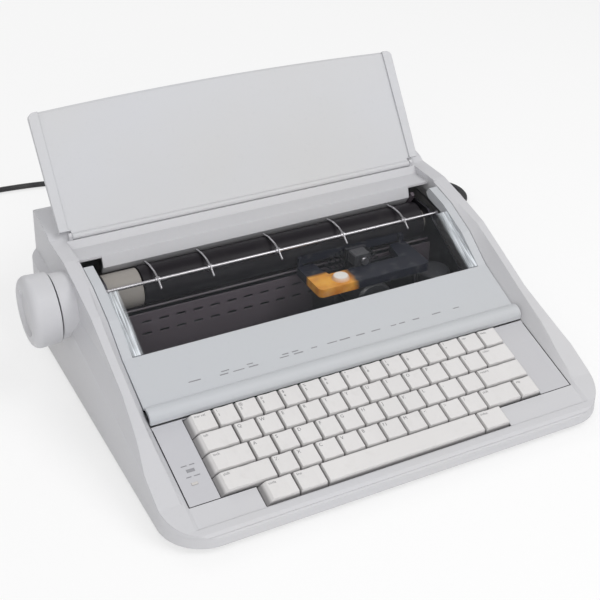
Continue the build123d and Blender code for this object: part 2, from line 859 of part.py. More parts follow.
with BuildPart() as paper_support:
    with BuildSketch(support_plane.offset(-support_wall)) as support_face:
        with BuildLine():
            Line((-support_half, rim_start), (support_half, rim_start))
            Line((support_half, rim_start), (support_top_half, side_top))
            ThreePointArc((support_top_half, side_top), (0, support_length), (-support_top_half, side_top))
            Line((-support_top_half, side_top), (-support_half, rim_start))
        make_face()
        fillet(support_face.vertices().group_by(Axis.Y)[-1], 5.0)
    extrude(amount=support_wall + support_rim)
    with BuildSketch(support_plane):
        with Locations((0, support_length / 2)):
            Rectangle(2 * field_half, 1.1 * support_length)
    extrude(amount=support_rim + 1, mode=Mode.SUBTRACT)
    front_arc = paper_support.edges().filter_by(
        lambda edge: edge.length > 1.9 * field_half and edge.center().Z > z_at(support_axis[1] + support_length / 2)
    ).sort_by(Axis.Y)[0]
    chamfer(front_arc, support_bevel)
    with BuildSketch(support_plane.offset(-support_wall)):
        with Locations((0, rim_start / 2)):
            Rectangle(2 * barrel_half, rim_start)
    extrude(amount=support_wall)
    with BuildSketch(side_plane(-barrel_half)):
        with Locations(spot(*support_axis)):
            Circle(barrel_radius)
    extrude(amount=2 * barrel_half)
    with BuildSketch(side_plane(-barrel_half - ear_gap - ear_width)):
        with Locations(spot(*support_axis)):
            Circle(support_pin_radius)
    extrude(amount=2 * (barrel_half + ear_gap + ear_width))
save(paper_support, "paper_support")


def turned(place, profile):
    """Solid turned about an axis along X; the profile lists (x, radius) points."""
    with BuildPart() as body:
        with BuildSketch(axis_plane(place)):
            with BuildLine():
                Polyline(*profile, close=True)
            make_face()
        revolve(axis=axis_along_x(place))
    return body.part


def bar(place, radius, left, right):
    """Round bar along X."""
    return turned(place, [(left, 0), (left, radius), (right, radius), (right, 0)])


def sleeve(place, outer, inner, left, right):
    """Round tube along X."""
    return turned(place, [(left, inner), (left, outer), (right, outer), (right, inner)])


# Frame of the mechanism: two side plates, front and rear cross walls and two pulley shelves
side_outline = [
    (frame_front, floor_thickness), (frame_front, 50.0), (200.0, 66.0), (228.0, 82.0),
    (240.0, 90.0), (260.0, 90.0), (285.0, 84.0), (frame_rear, 60.0), (frame_rear, floor_thickness),
]
shelf_front = 184.0
shelf_rear = 214.0
idler_shelf_half = 7.0
pulley_pin_radius = 2.0

with BuildPart() as mechanism_frame:
    for side in (-1, 1):
        with BuildSketch(side_plane(side * plate_inner)):
            with BuildLine():
                Polyline(*spots(side_outline), close=True)
            make_face()
            with Locations(spot(*platen_axis)):
                Circle(shaft_radius + running_fit, mode=Mode.SUBTRACT)
            with Locations(spot(*feed_axis)):
                Circle(feed_shaft + running_fit, mode=Mode.SUBTRACT)
            with Locations(spot(*bail_pivot)):
                Circle(bail_pin_radius + running_fit, mode=Mode.SUBTRACT)
            with Locations(spot(front_rail, rail_height), spot(rear_rail, rail_height)):
                Circle(rail_radius, mode=Mode.SUBTRACT)
            with Locations(spot(*lever_pivot)):
                Circle(bail_pin_radius + running_fit, mode=Mode.SUBTRACT)
        extrude(amount=side * side_plate)
    with BuildSketch(side_plane(-plate_inner)):
        with BuildLine():
            Polyline(*spots([
                (frame_front, floor_thickness), (frame_front, 50.0),
                (frame_front + cross_wall, 50.0), (frame_front + cross_wall, floor_thickness),
            ]), close=True)
        make_face()
        with BuildLine():
            Polyline(*spots([
                (frame_rear - cross_wall, floor_thickness), (frame_rear - cross_wall, 46.0),
                (frame_rear, 46.0), (frame_rear, floor_thickness),
            ]), close=True)
        make_face()
    extrude(amount=2 * plate_inner)
    with BuildSketch(Plane.XY.offset(z_at(shelf_height))):
        with Locations((
            (pulley_x - carriage_motor_radius - 2 + plate_inner) / 2,
            (y_at(shelf_front) + y_at(shelf_rear)) / 2,
        )):
            Rectangle(plate_inner - pulley_x + carriage_motor_radius + 2, shelf_rear - shelf_front)
        with Locations((-(pulley_x - 10 + plate_inner) / 2, y_at(pulley_distance))):
            Rectangle(plate_inner - pulley_x + 10, 2 * idler_shelf_half)
        with Locations((pulley_x, y_at(pulley_distance)), (-pulley_x, y_at(pulley_distance))):
            Circle(pulley_pin_radius + running_fit, mode=Mode.SUBTRACT)
    extrude(amount=shelf_thickness)
save(mechanism_frame, "mechanism_frame")

# Platen: rubber roller on its shaft, with the gear at the left and the knob outside the case
with BuildPart() as platen_roller:
    add(sleeve(platen_axis, platen_radius, shaft_radius, platen_left, platen_right))
    chamfer(platen_roller.edges().filter_by(GeomType.CIRCLE).sort_by(SortBy.RADIUS)[-2:], 0.6)
save(platen_roller, "platen_roller")

shaft_left = knob_face + 12.0
with BuildPart() as platen_shaft:
    add(bar(platen_axis, shaft_radius, shaft_left, plate_inner + side_plate + 3.0))
save(platen_shaft, "platen_shaft")

knob_round = 7.0
with BuildPart() as platen_knob:
    with BuildSketch(axis_plane(platen_axis)):
        with BuildLine():
            Line((shaft_left, 0), (knob_face + knob_dish, 0))
            Line((knob_face + knob_dish, 0), (knob_face + knob_dish, knob_dish_radius - 2))
            Line((knob_face + knob_dish, knob_dish_radius - 2), (knob_face, knob_dish_radius))
            Line((knob_face, knob_dish_radius), (knob_face, knob_radius - knob_round))
            TangentArc(
                (knob_face, knob_radius - knob_round), (knob_face + knob_round, knob_radius), tangent=(0, 1)
            )
            Line((knob_face + knob_round, knob_radius), (knob_back, knob_radius - 0.8))
            Line((knob_back, knob_radius - 0.8), (knob_back, knob_radius - 4))
            Line((knob_back, knob_radius - 4), (knob_back - 14, knob_radius - 4))
            Line((knob_back - 14, knob_radius - 4), (knob_back - 14, shaft_radius + 4))
            Line((knob_back - 14, shaft_radius + 4), (knob_back, shaft_radius + 4))
            Line((knob_back, shaft_radius + 4), (knob_back, shaft_radius))
            Line((knob_back, shaft_radius), (shaft_left, shaft_radius))
            Line((shaft_left, shaft_radius), (shaft_left, 0))
        make_face()
    revolve(axis=axis_along_x(platen_axis))
save(platen_knob, "platen_knob")


def toothed_wheel(place, teeth, left, width, phase):
    """Spur gear with straight flanks; the phase turns it by a share of one tooth."""
    pitch_radius = gear_module * teeth / 2
    tip = pitch_radius + 0.9 * gear_module
    root = pitch_radius - 1.25 * gear_module
    step = 2 * math.pi / teeth
    half_pitch_tooth = (gear_module * math.pi / 2 - gear_backlash) / 2 / pitch_radius
    flank_turn = gear_module * math.tan(math.radians(20.0)) / pitch_radius
    outline = []
    for tooth in range(teeth):
        centre = (tooth + phase) * step
        for radius, half in (
            (root, half_pitch_tooth + 1.2 * flank_turn),
            (pitch_radius, half_pitch_tooth),
            (tip, half_pitch_tooth - 1.1 * flank_turn),
        ):
            outline.append((radius, centre - half))
        for radius, half in (
            (tip, half_pitch_tooth - 1.1 * flank_turn),
            (pitch_radius, half_pitch_tooth),
            (root, half_pitch_tooth + 1.2 * flank_turn),
        ):
            outline.append((radius, centre + half))
    with BuildPart() as gear:
        with BuildSketch(side_plane(left)):
            with BuildLine():
                Polyline(
                    *[
                        (spot(*place)[0] + radius * math.cos(angle), spot(*place)[1] + radius * math.sin(angle))
                        for radius, angle in outline
                    ],
                    close=True,
                )
            make_face()
        extrude(amount=width)
    return gear.part


pinion_drop = gear_module * (gear_teeth + pinion_teeth) / 2 + 0.1
pinion_axis = (platen_axis[0], platen_axis[1] - pinion_drop)
pinion_shaft = 2.5

# The platen gear has a tooth straight down, and the pinion a gap straight up
with BuildPart() as platen_gear:
    add(toothed_wheel(platen_axis, gear_teeth, gear_left, gear_width, 0.0))
    add(sleeve(platen_axis, shaft_radius + 3, shaft_radius, gear_left, plate_inner * -1 - side_plate - 0.5))
    add(bar(platen_axis, shaft_radius, gear_left - 1, -plate_inner), mode=Mode.SUBTRACT)
save(platen_gear, "platen_gear")

with BuildPart() as feed_pinion:
    add(toothed_wheel(pinion_axis, pinion_teeth, gear_left, gear_width, 0.5))
    add(bar(pinion_axis, pinion_shaft, motor_right - 4, gear_left + gear_width + 1))
save(feed_pinion, "feed_pinion")

motor_post = 2.5
post_shift = motor_radius - motor_post - 1.0
with BuildPart() as feed_motor:
    add(sleeve(pinion_axis, motor_radius, pinion_shaft + running_fit, motor_left, motor_right))
    with BuildSketch(side_plane(motor_right)):
        with Locations(*[
            (y_at(pinion_axis[0]) + post_shift * math.cos(angle), z_at(pinion_axis[1]) + post_shift * math.sin(angle))
            for angle in (math.radians(-30.0), math.radians(-150.0))
        ]):
            Circle(motor_post)
    extrude(amount=-plate_inner - side_plate - motor_right)
save(feed_motor, "feed_motor")

# Bearings of the platen: a moulded block at the left and a bush at the right
with BuildPart() as platen_bearings:
    add(sleeve(platen_axis, block_radius, shaft_radius + running_fit, block_left, block_right))
    add(sleeve(platen_axis, bush_radius, shaft_radius + running_fit, bush_left, plate_inner))
save(platen_bearings, "platen_bearings")

# Paper bail: a steel rod on two swinging arms
with BuildPart() as paper_bail:
    add(bar(rod_place, rod_radius, -bail_arm_inner, bail_arm_inner))
    for side in (-1, 1):
        with BuildSketch(side_plane(side * bail_arm_inner)):
            with BuildLine():
                Polyline(*spots([
                    (bail_pivot[0] - 4.0, bail_pivot[1] - 1.0),
                    (rod_place[0] - 3.0, rod_place[1] - 1.0),
                    (rod_place[0] - 1.0, rod_place[1] + 2.5),
                    (rod_place[0] + 2.5, rod_place[1] + 1.0),
                    (bail_pivot[0] + 4.0, bail_pivot[1] + 1.0),
                    (bail_pivot[0] + 1.0, bail_pivot[1] - 4.0),
                ]), close=True)
            make_face()
        extrude(amount=side * bail_arm_width)
        with BuildSketch(side_plane(side * (plate_inner - 0.5))):
            with Locations(spot(*bail_pivot)):
                Circle(bail_pin_radius)
        extrude(amount=side * (bail_arm_inner - plate_inner + 1.0))
save(paper_bail, "paper_bail")

# Bent wire fingers that hold the paper on the platen, each on a sleeve round the rod
finger_ring = (platen_radius + finger_wire + finger_gap) / math.cos(math.radians(17))
finger_tip = (
    platen_axis[0] + finger_ring * math.cos(math.radians(62)),
    platen_axis[1] + finger_ring * math.sin(math.radians(62)),
)
finger_top = (
    platen_axis[0] + finger_ring * math.cos(math.radians(95)),
    platen_axis[1] + finger_ring * math.sin(math.radians(95)),
)
finger_knee = (rod_place[0] + 7.0, rod_place[1] + 4.4)
finger_sleeve = 2.6

with BuildPart() as bail_fingers:
    for x in finger_places:
        with BuildLine():
            wire_path = FilletPolyline(
                (x, *spot(*finger_tip)),
                (x, *spot(*finger_top)),
                (x, *spot(*finger_knee)),
                (x, *spot(rod_place[0] - 1.0, rod_place[1] + 2.0)),
                (x, *spot(rod_place[0] - 9.0, rod_place[1] - 4.0)),
                radius=2.6,
            )
        with BuildSketch(Plane(origin=wire_path @ 0, z_dir=wire_path % 0)):
            Circle(finger_wire)
        sweep(path=wire_path)
        add(sleeve(rod_place, finger_sleeve, rod_radius, x - 2.0, x + 2.0))
    add(bar(rod_place, rod_radius, -bail_arm_inner, bail_arm_inner), mode=Mode.SUBTRACT)
save(bail_fingers, "bail_fingers")

# Paper pan under the platen, open where the feed rollers press through
pan_inner = platen_radius + pan_gap
pan_outer = pan_inner + pan_wall


def around(place, radius, angle):
    """Point of the side view at an angle about an axis, from the rear upwards."""
    turn = math.radians(angle)
    return spot(place[0] + radius * math.cos(turn), place[1] + radius * math.sin(turn))


pan_middle_angle = (pan_rear_angle + pan_front_angle) / 2
with BuildPart() as paper_pan:
    with BuildSketch(side_plane(-plate_inner)):
        with BuildLine():
            ThreePointArc(*[
                around(platen_axis, pan_inner, a) for a in (pan_rear_angle, pan_middle_angle, pan_front_angle)
            ])
            Line(
                around(platen_axis, pan_inner, pan_front_angle), around(platen_axis, pan_outer, pan_front_angle)
            )
            ThreePointArc(*[
                around(platen_axis, pan_outer, a) for a in (pan_front_angle, pan_middle_angle, pan_rear_angle)
            ])
            Line(around(platen_axis, pan_outer, pan_rear_angle), around(platen_axis, pan_inner, pan_rear_angle))
        make_face()
    extrude(amount=2 * plate_inner)
    for x in feed_places:
        half = feed_width / 2 + 1.5
        add(bar(feed_axis, feed_radius + 1.2, x - half, x + half), mode=Mode.SUBTRACT)
    add(bar(feed_axis, feed_shaft + 0.6, -plate_inner - 1, plate_inner + 1), mode=Mode.SUBTRACT)
save(paper_pan, "paper_pan")

# Deflector: the slotted charcoal wall under the front of the platen
slot_rows = (50.0, 38.0)
slot_length = 9.0
slot_height = 2.4
with BuildPart() as paper_deflector:
    with BuildSketch(front_plane(deflector_distance + deflector_wall)):
        with Locations((0, z_at((floor_thickness + deflector_top) / 2))):
            Rectangle(2 * plate_inner, deflector_top - floor_thickness)
        for height in slot_rows:
            with Locations((0, z_at(height))):
                with GridLocations(16.0, 1.0, 17, 1):
                    SlotOverall(slot_length, slot_height, mode=Mode.SUBTRACT)
    extrude(amount=deflector_wall)
save(paper_deflector, "paper_deflector")

# Feed rollers on their shaft
with BuildPart() as feed_rollers:
    add(bar(feed_axis, feed_shaft, -plate_inner - side_plate, plate_inner + side_plate))
    for x in feed_places:
        add(bar(feed_axis, feed_radius, x - feed_width / 2, x + feed_width / 2))
save(feed_rollers, "feed_rollers")

# Paper release lever beside the right end of the platen
with BuildPart() as paper_release_lever:
    with BuildSketch(side_plane(lever_left)):
        with BuildLine():
            Polyline(*spots([
                (lever_pivot[0] - 3.5, lever_pivot[1] - 3.0),
                (lever_pivot[0] - 7.0, lever_pivot[1] + 20.0),
                (lever_pivot[0] - 13.5, lever_pivot[1] + 33.0),
                (lever_pivot[0] - 10.0, lever_pivot[1] + 35.0),
                (lever_pivot[0] - 2.0, lever_pivot[1] + 20.0),
                (lever_pivot[0] + 3.5, lever_pivot[1] - 1.0),
            ]), close=True)
        make_face()
    extrude(amount=lever_width)
    add(bar(lever_pivot, bail_pin_radius, lever_left, plate_inner + side_plate))
save(paper_release_lever, "paper_release_lever")

# Carriage rails
with BuildPart() as carriage_rails:
    for distance in (front_rail, rear_rail):
        add(bar((distance, rail_height), rail_radius, -plate_inner - side_plate, plate_inner + side_plate))
save(carriage_rails, "carriage_rails")

# Carriage: a folded frame on four bearing blocks, which carries the type wheel and its motor
bearing_width = 12.0
bearing_half = 6.0
carriage_left = carriage_x - carriage_half
carriage_right = carriage_x + carriage_half
hammer_plate_half = 10.0
hammer_plate_top = 80.0

with BuildPart() as carriage_frame:
    with BuildSketch(Plane.XY.offset(z_at(carriage_floor))):
        with Locations((carriage_x, (y_at(carriage_front) + y_at(motor_plate + motor_plate_wall)) / 2)):
            Rectangle(2 * carriage_half, motor_plate + motor_plate_wall - carriage_front)
    extrude(amount=carriage_wall)
    with BuildSketch(Plane.XY.offset(z_at(rail_height - bearing_half))):
        for x in (carriage_left + bearing_width / 2, carriage_right - bearing_width / 2):
            with Locations((x, y_at(front_rail)), (x, y_at(rear_rail))):
                Rectangle(bearing_width, 2 * bearing_half)
    extrude(amount=carriage_floor - rail_height + bearing_half)
    for x in (carriage_left, carriage_right - carriage_wall):
        with BuildSketch(side_plane(x)):
            with BuildLine():
                Polyline(*spots([
                    (carriage_front + 2, carriage_floor), (carriage_front + 6, carriage_top),
                    (motor_plate + motor_plate_wall, carriage_top),
                    (motor_plate + motor_plate_wall, carriage_floor),
                ]), close=True)
            make_face()
        extrude(amount=carriage_wall)
    with BuildSketch(front_plane(motor_plate + motor_plate_wall)):
        with Locations((carriage_x, z_at((carriage_floor + carriage_top) / 2))):
            Rectangle(2 * carriage_half, carriage_top - carriage_floor)
        with Locations((carriage_x, z_at((carriage_top + hammer_plate_top) / 2))):
            Rectangle(2 * hammer_plate_half, hammer_plate_top - carriage_top)
        with Locations((carriage_x, z_at(wheel_height))):
            Circle(6.0, mode=Mode.SUBTRACT)
        with Locations((carriage_x, z_at(hammer_height))):
            Circle(hammer_radius + 0.6, mode=Mode.SUBTRACT)
    extrude(amount=motor_plate_wall)
    for distance in (front_rail, rear_rail):
        add(
            bar((distance, rail_height), rail_radius + running_fit, carriage_left - 1, carriage_right + 1),
            mode=Mode.SUBTRACT,
        )
    with BuildSketch(Plane.XY.offset(z_at(18.4))):
        with Locations((carriage_x, y_at(pulley_distance - pulley_radius - 0.7))):
            Rectangle(10.0, 2.4)
    extrude(amount=carriage_floor - 18.4)
save(carriage_frame, "carriage_frame")


def turned_along_y(x, height, profile):
    """Solid turned about an axis along Y; the profile lists (radius, distance) points."""
    centre = (x, y_at(0), z_at(height))
    with BuildPart() as body:
        with BuildSketch(Plane(origin=centre, x_dir=(1, 0, 0), z_dir=(0, 0, 1))):
            with BuildLine():
                Polyline(*profile, close=True)
            make_face()
        revolve(axis=Axis(centre, (0, 1, 0)))
    return body.part


wheel_front = motor_plate + motor_plate_wall + 3.0
hub_radius = 8.0
petal_plane_distance = wheel_front + 3.0
petal_thickness = 0.8
with BuildPart() as wheel_motor:
    add(turned_along_y(carriage_x, wheel_height, [
        (0, carriage_front + 7), (wheel_motor_radius - 2, carriage_front + 7),
        (wheel_motor_radius, carriage_front + 9), (wheel_motor_radius, motor_plate),
        (pulley_pin_radius + running_fit, motor_plate),
        (pulley_pin_radius + running_fit, motor_plate - 8.0), (0, motor_plate - 8.0),
    ]))
save(wheel_motor, "wheel_motor")

# Print wheel: a hub with one flexible petal for each character
with BuildPart() as print_wheel:
    add(turned_along_y(carriage_x, wheel_height, [
        (0, motor_plate - 7.0), (pulley_pin_radius, motor_plate - 7.0),
        (pulley_pin_radius, wheel_front), (hub_radius, wheel_front),
        (hub_radius, wheel_front + 4.0), (0, wheel_front + 4.0),
    ]))
    with BuildSketch(front_plane(petal_plane_distance)):
        with Locations((carriage_x, z_at(wheel_height))):
            Circle(hub_radius + 4.0)
            with PolarLocations((wheel_radius + hub_radius) / 2, wheel_petals):
                Rectangle(wheel_radius - hub_radius, 1.3)
            with PolarLocations(wheel_radius - 1.8, wheel_petals):
                Rectangle(3.6, 2.4)
    extrude(amount=-petal_thickness)
save(print_wheel, "print_wheel")

# Hammer and its solenoid, above the wheel motor
solenoid_width = 16.0
solenoid_front = 206.0
hammer_front = solenoid_front - 3.0
hammer_tip = petal_plane_distance - 2.9
with BuildPart() as hammer_solenoid:
    with BuildSketch(front_plane(motor_plate)):
        with Locations((carriage_x, z_at(hammer_height - 1.0))):
            Rectangle(solenoid_width, 12.0)
        with Locations((carriage_x, z_at(hammer_height))):
            Circle(hammer_radius + running_fit, mode=Mode.SUBTRACT)
    extrude(amount=motor_plate - solenoid_front)
    chamfer(hammer_solenoid.edges().filter_by(Axis.Y), 1.2)
save(hammer_solenoid, "hammer_solenoid")

with BuildPart() as hammer:
    add(turned_along_y(carriage_x, hammer_height, [
        (0, hammer_front - 2.0), (3.4, hammer_front - 2.0), (3.4, hammer_front),
        (hammer_radius, hammer_front), (hammer_radius, hammer_tip), (0, hammer_tip),
    ]))
save(hammer, "hammer")

# Ribbon cassette: a flat U-shaped box with a wind-on knob, guide horns and a span of ribbon
cassette_front = 181.0
cassette_body_rear = 203.0
cassette_arm_width = 16.0
cassette_arm_rear = 226.0
horn_top = carriage_top + 16.0
ribbon_distance = 229.0
with BuildPart() as ribbon_cassette:
    with BuildSketch(Plane.XY.offset(z_at(carriage_top))) as tray_shape:
        with BuildLine():
            Polyline(
                (carriage_x - cassette_half, y_at(cassette_front)),
                (carriage_x + cassette_half, y_at(cassette_front)),
                (carriage_x + cassette_half, y_at(cassette_arm_rear)),
                (carriage_x + cassette_half - cassette_arm_width, y_at(cassette_arm_rear)),
                (carriage_x + cassette_half - cassette_arm_width - 4, y_at(cassette_body_rear)),
                (carriage_x - cassette_half + cassette_arm_width + 4, y_at(cassette_body_rear)),
                (carriage_x - cassette_half + cassette_arm_width, y_at(cassette_arm_rear)),
                (carriage_x - cassette_half, y_at(cassette_arm_rear)),
                close=True,
            )
        make_face()
        fillet(tray_shape.vertices().group_by(Axis.Y)[0], 5.0)
    extrude(amount=cassette_height)
    with BuildSketch(Plane.XY.offset(z_at(carriage_top + cassette_height))):
        with Locations((carriage_x - 30.0, y_at(192.0))):
            Circle(8.0)
    extrude(amount=3.0, taper=25)
    with BuildSketch(Plane.XY.offset(z_at(carriage_top + 2.0))):
        with Locations(
            (carriage_x - cassette_half + 4.0, y_at(ribbon_distance - 2.0)),
            (carriage_x + cassette_half - 4.0, y_at(ribbon_distance - 2.0)),
        ):
            Rectangle(4.0, 4.0)
    extrude(amount=horn_top - carriage_top - 2.0)
    with BuildSketch(Plane.XY.offset(z_at(carriage_top + 8.0))):
        with Locations((carriage_x, y_at(ribbon_distance + 0.2))):
            Rectangle(2 * cassette_half - 6.0, 0.4)
    extrude(amount=8.0)
save(ribbon_cassette, "ribbon_cassette")

# Carriage drive: motor on the right-hand shelf, two pulleys and the belt between them
pulley_foot = 10.0
pulley_top = shelf_height - 0.3
groove_foot = 11.5
groove_top = 18.5
flange_radius = pulley_radius + 2.0


def pulley(x, shaft_top):
    """Flanged belt pulley on an upright pin."""
    with BuildPart() as body:
        for foot, top, radius in (
            (pulley_foot, groove_foot, flange_radius),
            (groove_foot, groove_top, pulley_radius),
            (groove_top, pulley_top, flange_radius),
            (pulley_top, shaft_top, pulley_pin_radius),
        ):
            with BuildSketch(Plane.XY.offset(z_at(foot))):
                with Locations((x, y_at(pulley_distance))):
                    Circle(radius)
            extrude(amount=top - foot)
    return body.part


with BuildPart() as drive_pulley:
    add(pulley(pulley_x, shelf_height + shelf_thickness + 4.0))
save(drive_pulley, "drive_pulley")

with BuildPart() as idler_pulley:
    add(pulley(-pulley_x, shelf_height + shelf_thickness))
save(idler_pulley, "idler_pulley")

with BuildPart() as carriage_motor:
    with BuildSketch(Plane.XY.offset(z_at(shelf_height + shelf_thickness))):
        with Locations((pulley_x, y_at(pulley_distance))):
            Circle(carriage_motor_radius)
            Circle(pulley_pin_radius + running_fit, mode=Mode.SUBTRACT)
    extrude(amount=carriage_motor_height)
    with BuildSketch(Plane.XY.offset(z_at(shelf_height + shelf_thickness + 6.0))):
        with Locations((pulley_x, y_at(pulley_distance))):
            Circle(pulley_pin_radius + 1)
    extrude(amount=carriage_motor_height - 6.0)
    chamfer(carriage_motor.edges().group_by(Axis.Z)[-1], 1.5)
save(carriage_motor, "carriage_motor")

belt_inner = pulley_radius + belt_gap
with BuildPart() as carriage_belt:
    with BuildSketch(Plane.XY.offset(z_at(groove_foot + 0.5))):
        with Locations((0, y_at(pulley_distance))):
            SlotCenterToCenter(2 * pulley_x, 2 * (belt_inner + belt_thickness))
            SlotCenterToCenter(2 * pulley_x, 2 * belt_inner, mode=Mode.SUBTRACT)
    extrude(amount=groove_top - groove_foot - 1.0)
save(carriage_belt, "carriage_belt")

# Main circuit board with its larger components
with BuildPart() as main_board:
    board_base = z_at(board_height + 2)
    with BuildSketch(Plane.XY.offset(board_base)):
        with Locations(((board_left + board_right) / 2, (y_at(board_front) + y_at(board_rear)) / 2)):
            Rectangle(board_right - board_left, board_rear - board_front)
    extrude(amount=board_thickness)
    with BuildSketch(Plane.XY.offset(board_base + board_thickness)):
        with Locations(*[(x, y_at(d)) for x, d in ((-80.0, 120.0), (-30.0, 120.0), (20.0, 126.0))]):
            Rectangle(38.0, 14.0)
    extrude(amount=4.0)
    with BuildSketch(Plane.XY.offset(board_base + board_thickness)):
        with Locations(*[(x, y_at(146.0)) for x in (-90.0, -60.0, -30.0, 0.0, 30.0)]):
            Circle(4.0)
    extrude(amount=10.0)
save(main_board, "main_board")

# Transformer: laminated core and wound coil, in the rear right corner
with BuildPart() as transformer:
    with BuildSketch(Plane.XY.offset(z_at(floor_thickness))):
        with Locations((80.0, y_at(320.0))):
            Rectangle(52.0, 22.0)
    extrude(amount=42.0)
    with BuildSketch(Plane.XY.offset(z_at(floor_thickness + 8.0))) as winding:
        with Locations((80.0, y_at(320.0))):
            Rectangle(32.0, 36.0)
        fillet(winding.vertices(), 6.0)
    extrude(amount=26.0)
save(transformer, "transformer")

# Power switch: a rocker on a pin in the pocket of the rear wall
rocker_axis = (rear_face - 5.0, switch_height)
with BuildPart() as power_switch:
    with BuildSketch(side_plane(switch_x - switch_width / 2)):
        with BuildLine():
            Polyline(*spots([
                (rocker_axis[0] - 4.0, rocker_axis[1] - 4.0),
                (rocker_axis[0] + 3.6, rocker_axis[1] - switch_tall / 2),
                (rocker_axis[0] + 4.6, rocker_axis[1]),
                (rocker_axis[0] + 6.4, rocker_axis[1] + switch_tall / 2),
                (rocker_axis[0] - 4.0, rocker_axis[1] + 4.0),
            ]), close=True)
        make_face()
    extrude(amount=switch_width)
    with BuildSketch(side_plane(switch_x - switch_width / 2 - 0.5 - pocket_wall)):
        with Locations(spot(*rocker_axis)):
            Circle(1.5)
    extrude(amount=switch_width + 1 + 2 * pocket_wall)
save(power_switch, "power_switch")

# Mains cord: strain relief in the rear wall, the cord over the table, its coil and its plug
cord_radius = cord_diameter / 2
cord_level = cord_radius + cord_gap
relief_tip = case_depth + relief_length
with BuildPart() as cord_strain_relief:
    add(turned_along_y(relief_x, relief_height, [
        (0, relief_inside), (relief_flange, relief_inside),
        (relief_flange, case_depth - wall - 1.6), (relief_neck, case_depth - wall - 1.6),
        (relief_neck, case_depth + 0.6), (relief_flange - 0.5, case_depth + 0.6),
        (relief_flange - 0.5, case_depth + 3.0), (relief_neck + 0.3, case_depth + 3.0),
        (cord_radius + 0.9, relief_tip), (0, relief_tip),
    ]))
save(cord_strain_relief, "cord_strain_relief")

coil_entry = (coil_centre[0] + cord_diameter, coil_centre[1] - coil_outer, cord_level)
relief_level = z_at(relief_height)
cord_route = [
    (relief_x, y_at(relief_tip), relief_level), (relief_x, 240.0, relief_level),
    (140.0, 268.0, 17.0), (168.0, 284.0, 7.0), (200.0, 272.0, cord_level),
    (226.0, 245.0, cord_level), (249.7, 218.4, cord_level), (269.3, 202.0, cord_level),
    (294.7, 202.0, cord_level), (314.3, 218.4, cord_level), (318.7, 243.5, cord_level),
    (305.9, 265.5, cord_level), (280.0, 282.0, cord_level), (235.0, 303.0, cord_level),
    (175.0, 328.0, cord_level), (108.0, 360.0, cord_level), (38.0, 400.0, cord_level),
    (-32.0, 436.0, cord_level), (-96.0, 458.0, cord_level), (-150.0, coil_entry[1], cord_level),
    coil_entry,
]
corner_radii = []
for before, corner, after in zip(cord_route, cord_route[1:], cord_route[2:]):
    run_in = Vector(*corner) - Vector(*before)
    run_out = Vector(*after) - Vector(*corner)
    half_turn = math.radians(run_in.get_angle(run_out)) / 2
    corner_radii.append(0.45 * min(run_in.length, run_out.length) / math.tan(half_turn))
print("cord radii", [round(radius, 1) for radius in corner_radii])

with BuildPart() as power_cord:
    with BuildLine() as cord_path:
        FilletPolyline(*cord_route, radius=corner_radii)
    with BuildSketch(Plane(origin=cord_path.wire() @ 0, z_dir=cord_path.wire() % 0)):
        Circle(cord_radius)
    sweep(path=cord_path.wire())
cord_length = cord_path.wire().length
cord_share = power_cord.part.volume / (math.pi * cord_radius ** 2 * cord_length)
print("cord length", round(cord_length), "volume share", round(cord_share, 3))
save(power_cord, "power_cord")


def coil_point(turns):
    """Middle of the cord after a number of turns: inwards below, up half a turn, outwards above."""
    if turns <= inward_turns:
        radius = coil_outer - coil_pitch * turns
        level = cord_level
    elif turns <= inward_turns + climb_turns:
        share = (turns - inward_turns) / climb_turns
        radius = coil_outer - coil_pitch * inward_turns
        level = cord_level + coil_layer * (share - math.sin(2 * math.pi * share) / (2 * math.pi))
    else:
        radius = coil_outer - coil_pitch * (2 * inward_turns + climb_turns - turns)
        level = cord_level + coil_layer
    angle = -math.pi / 2 - 2 * math.pi * turns
    return Vector(
        coil_centre[0] + radius * math.cos(angle), coil_centre[1] + radius * math.sin(angle), level
    )


def coil_tangent(turns):
    """Direction of the cord in the coil, from points a little before and after."""
    step = 0.002
    return (coil_point(turns + step) - coil_point(turns - step)).normalized()


def biarc(start, start_way, end, end_way):
    """Joint of two tangent arcs between two points, and the direction there."""
    chord = end - start
    along = chord.dot(start_way + end_way)
    spread = 2 * (1 - start_way.dot(end_way))
    reach = (math.sqrt(along ** 2 + spread * chord.dot(chord)) - along) / spread
    first = start + start_way * reach
    second = end - end_way * reach
    return (first + second) * 0.5, (second - first).normalized()


coil_start = Vector(coil_centre[0], coil_entry[1], cord_level)
plug_entry = Vector(coil_centre[0] - 60.0, coil_centre[1] + cord_diameter, plug_level)
stations = [(coil_start, Vector(-1, 0, 0))]
for step in range(1, round((inward_turns + climb_turns + outward_turns) * coil_steps) + 1):
    stations.append((coil_point(step / coil_steps), coil_tangent(step / coil_steps)))
stations.append((
    Vector(coil_centre[0] - 40.0, coil_centre[1] - 33.0, cord_level + coil_layer),
    Vector(-0.78, 0.63, -0.02).normalized(),
))
stations.append((plug_entry - Vector(0, cord_diameter, 0), Vector(0, 1, 0)))

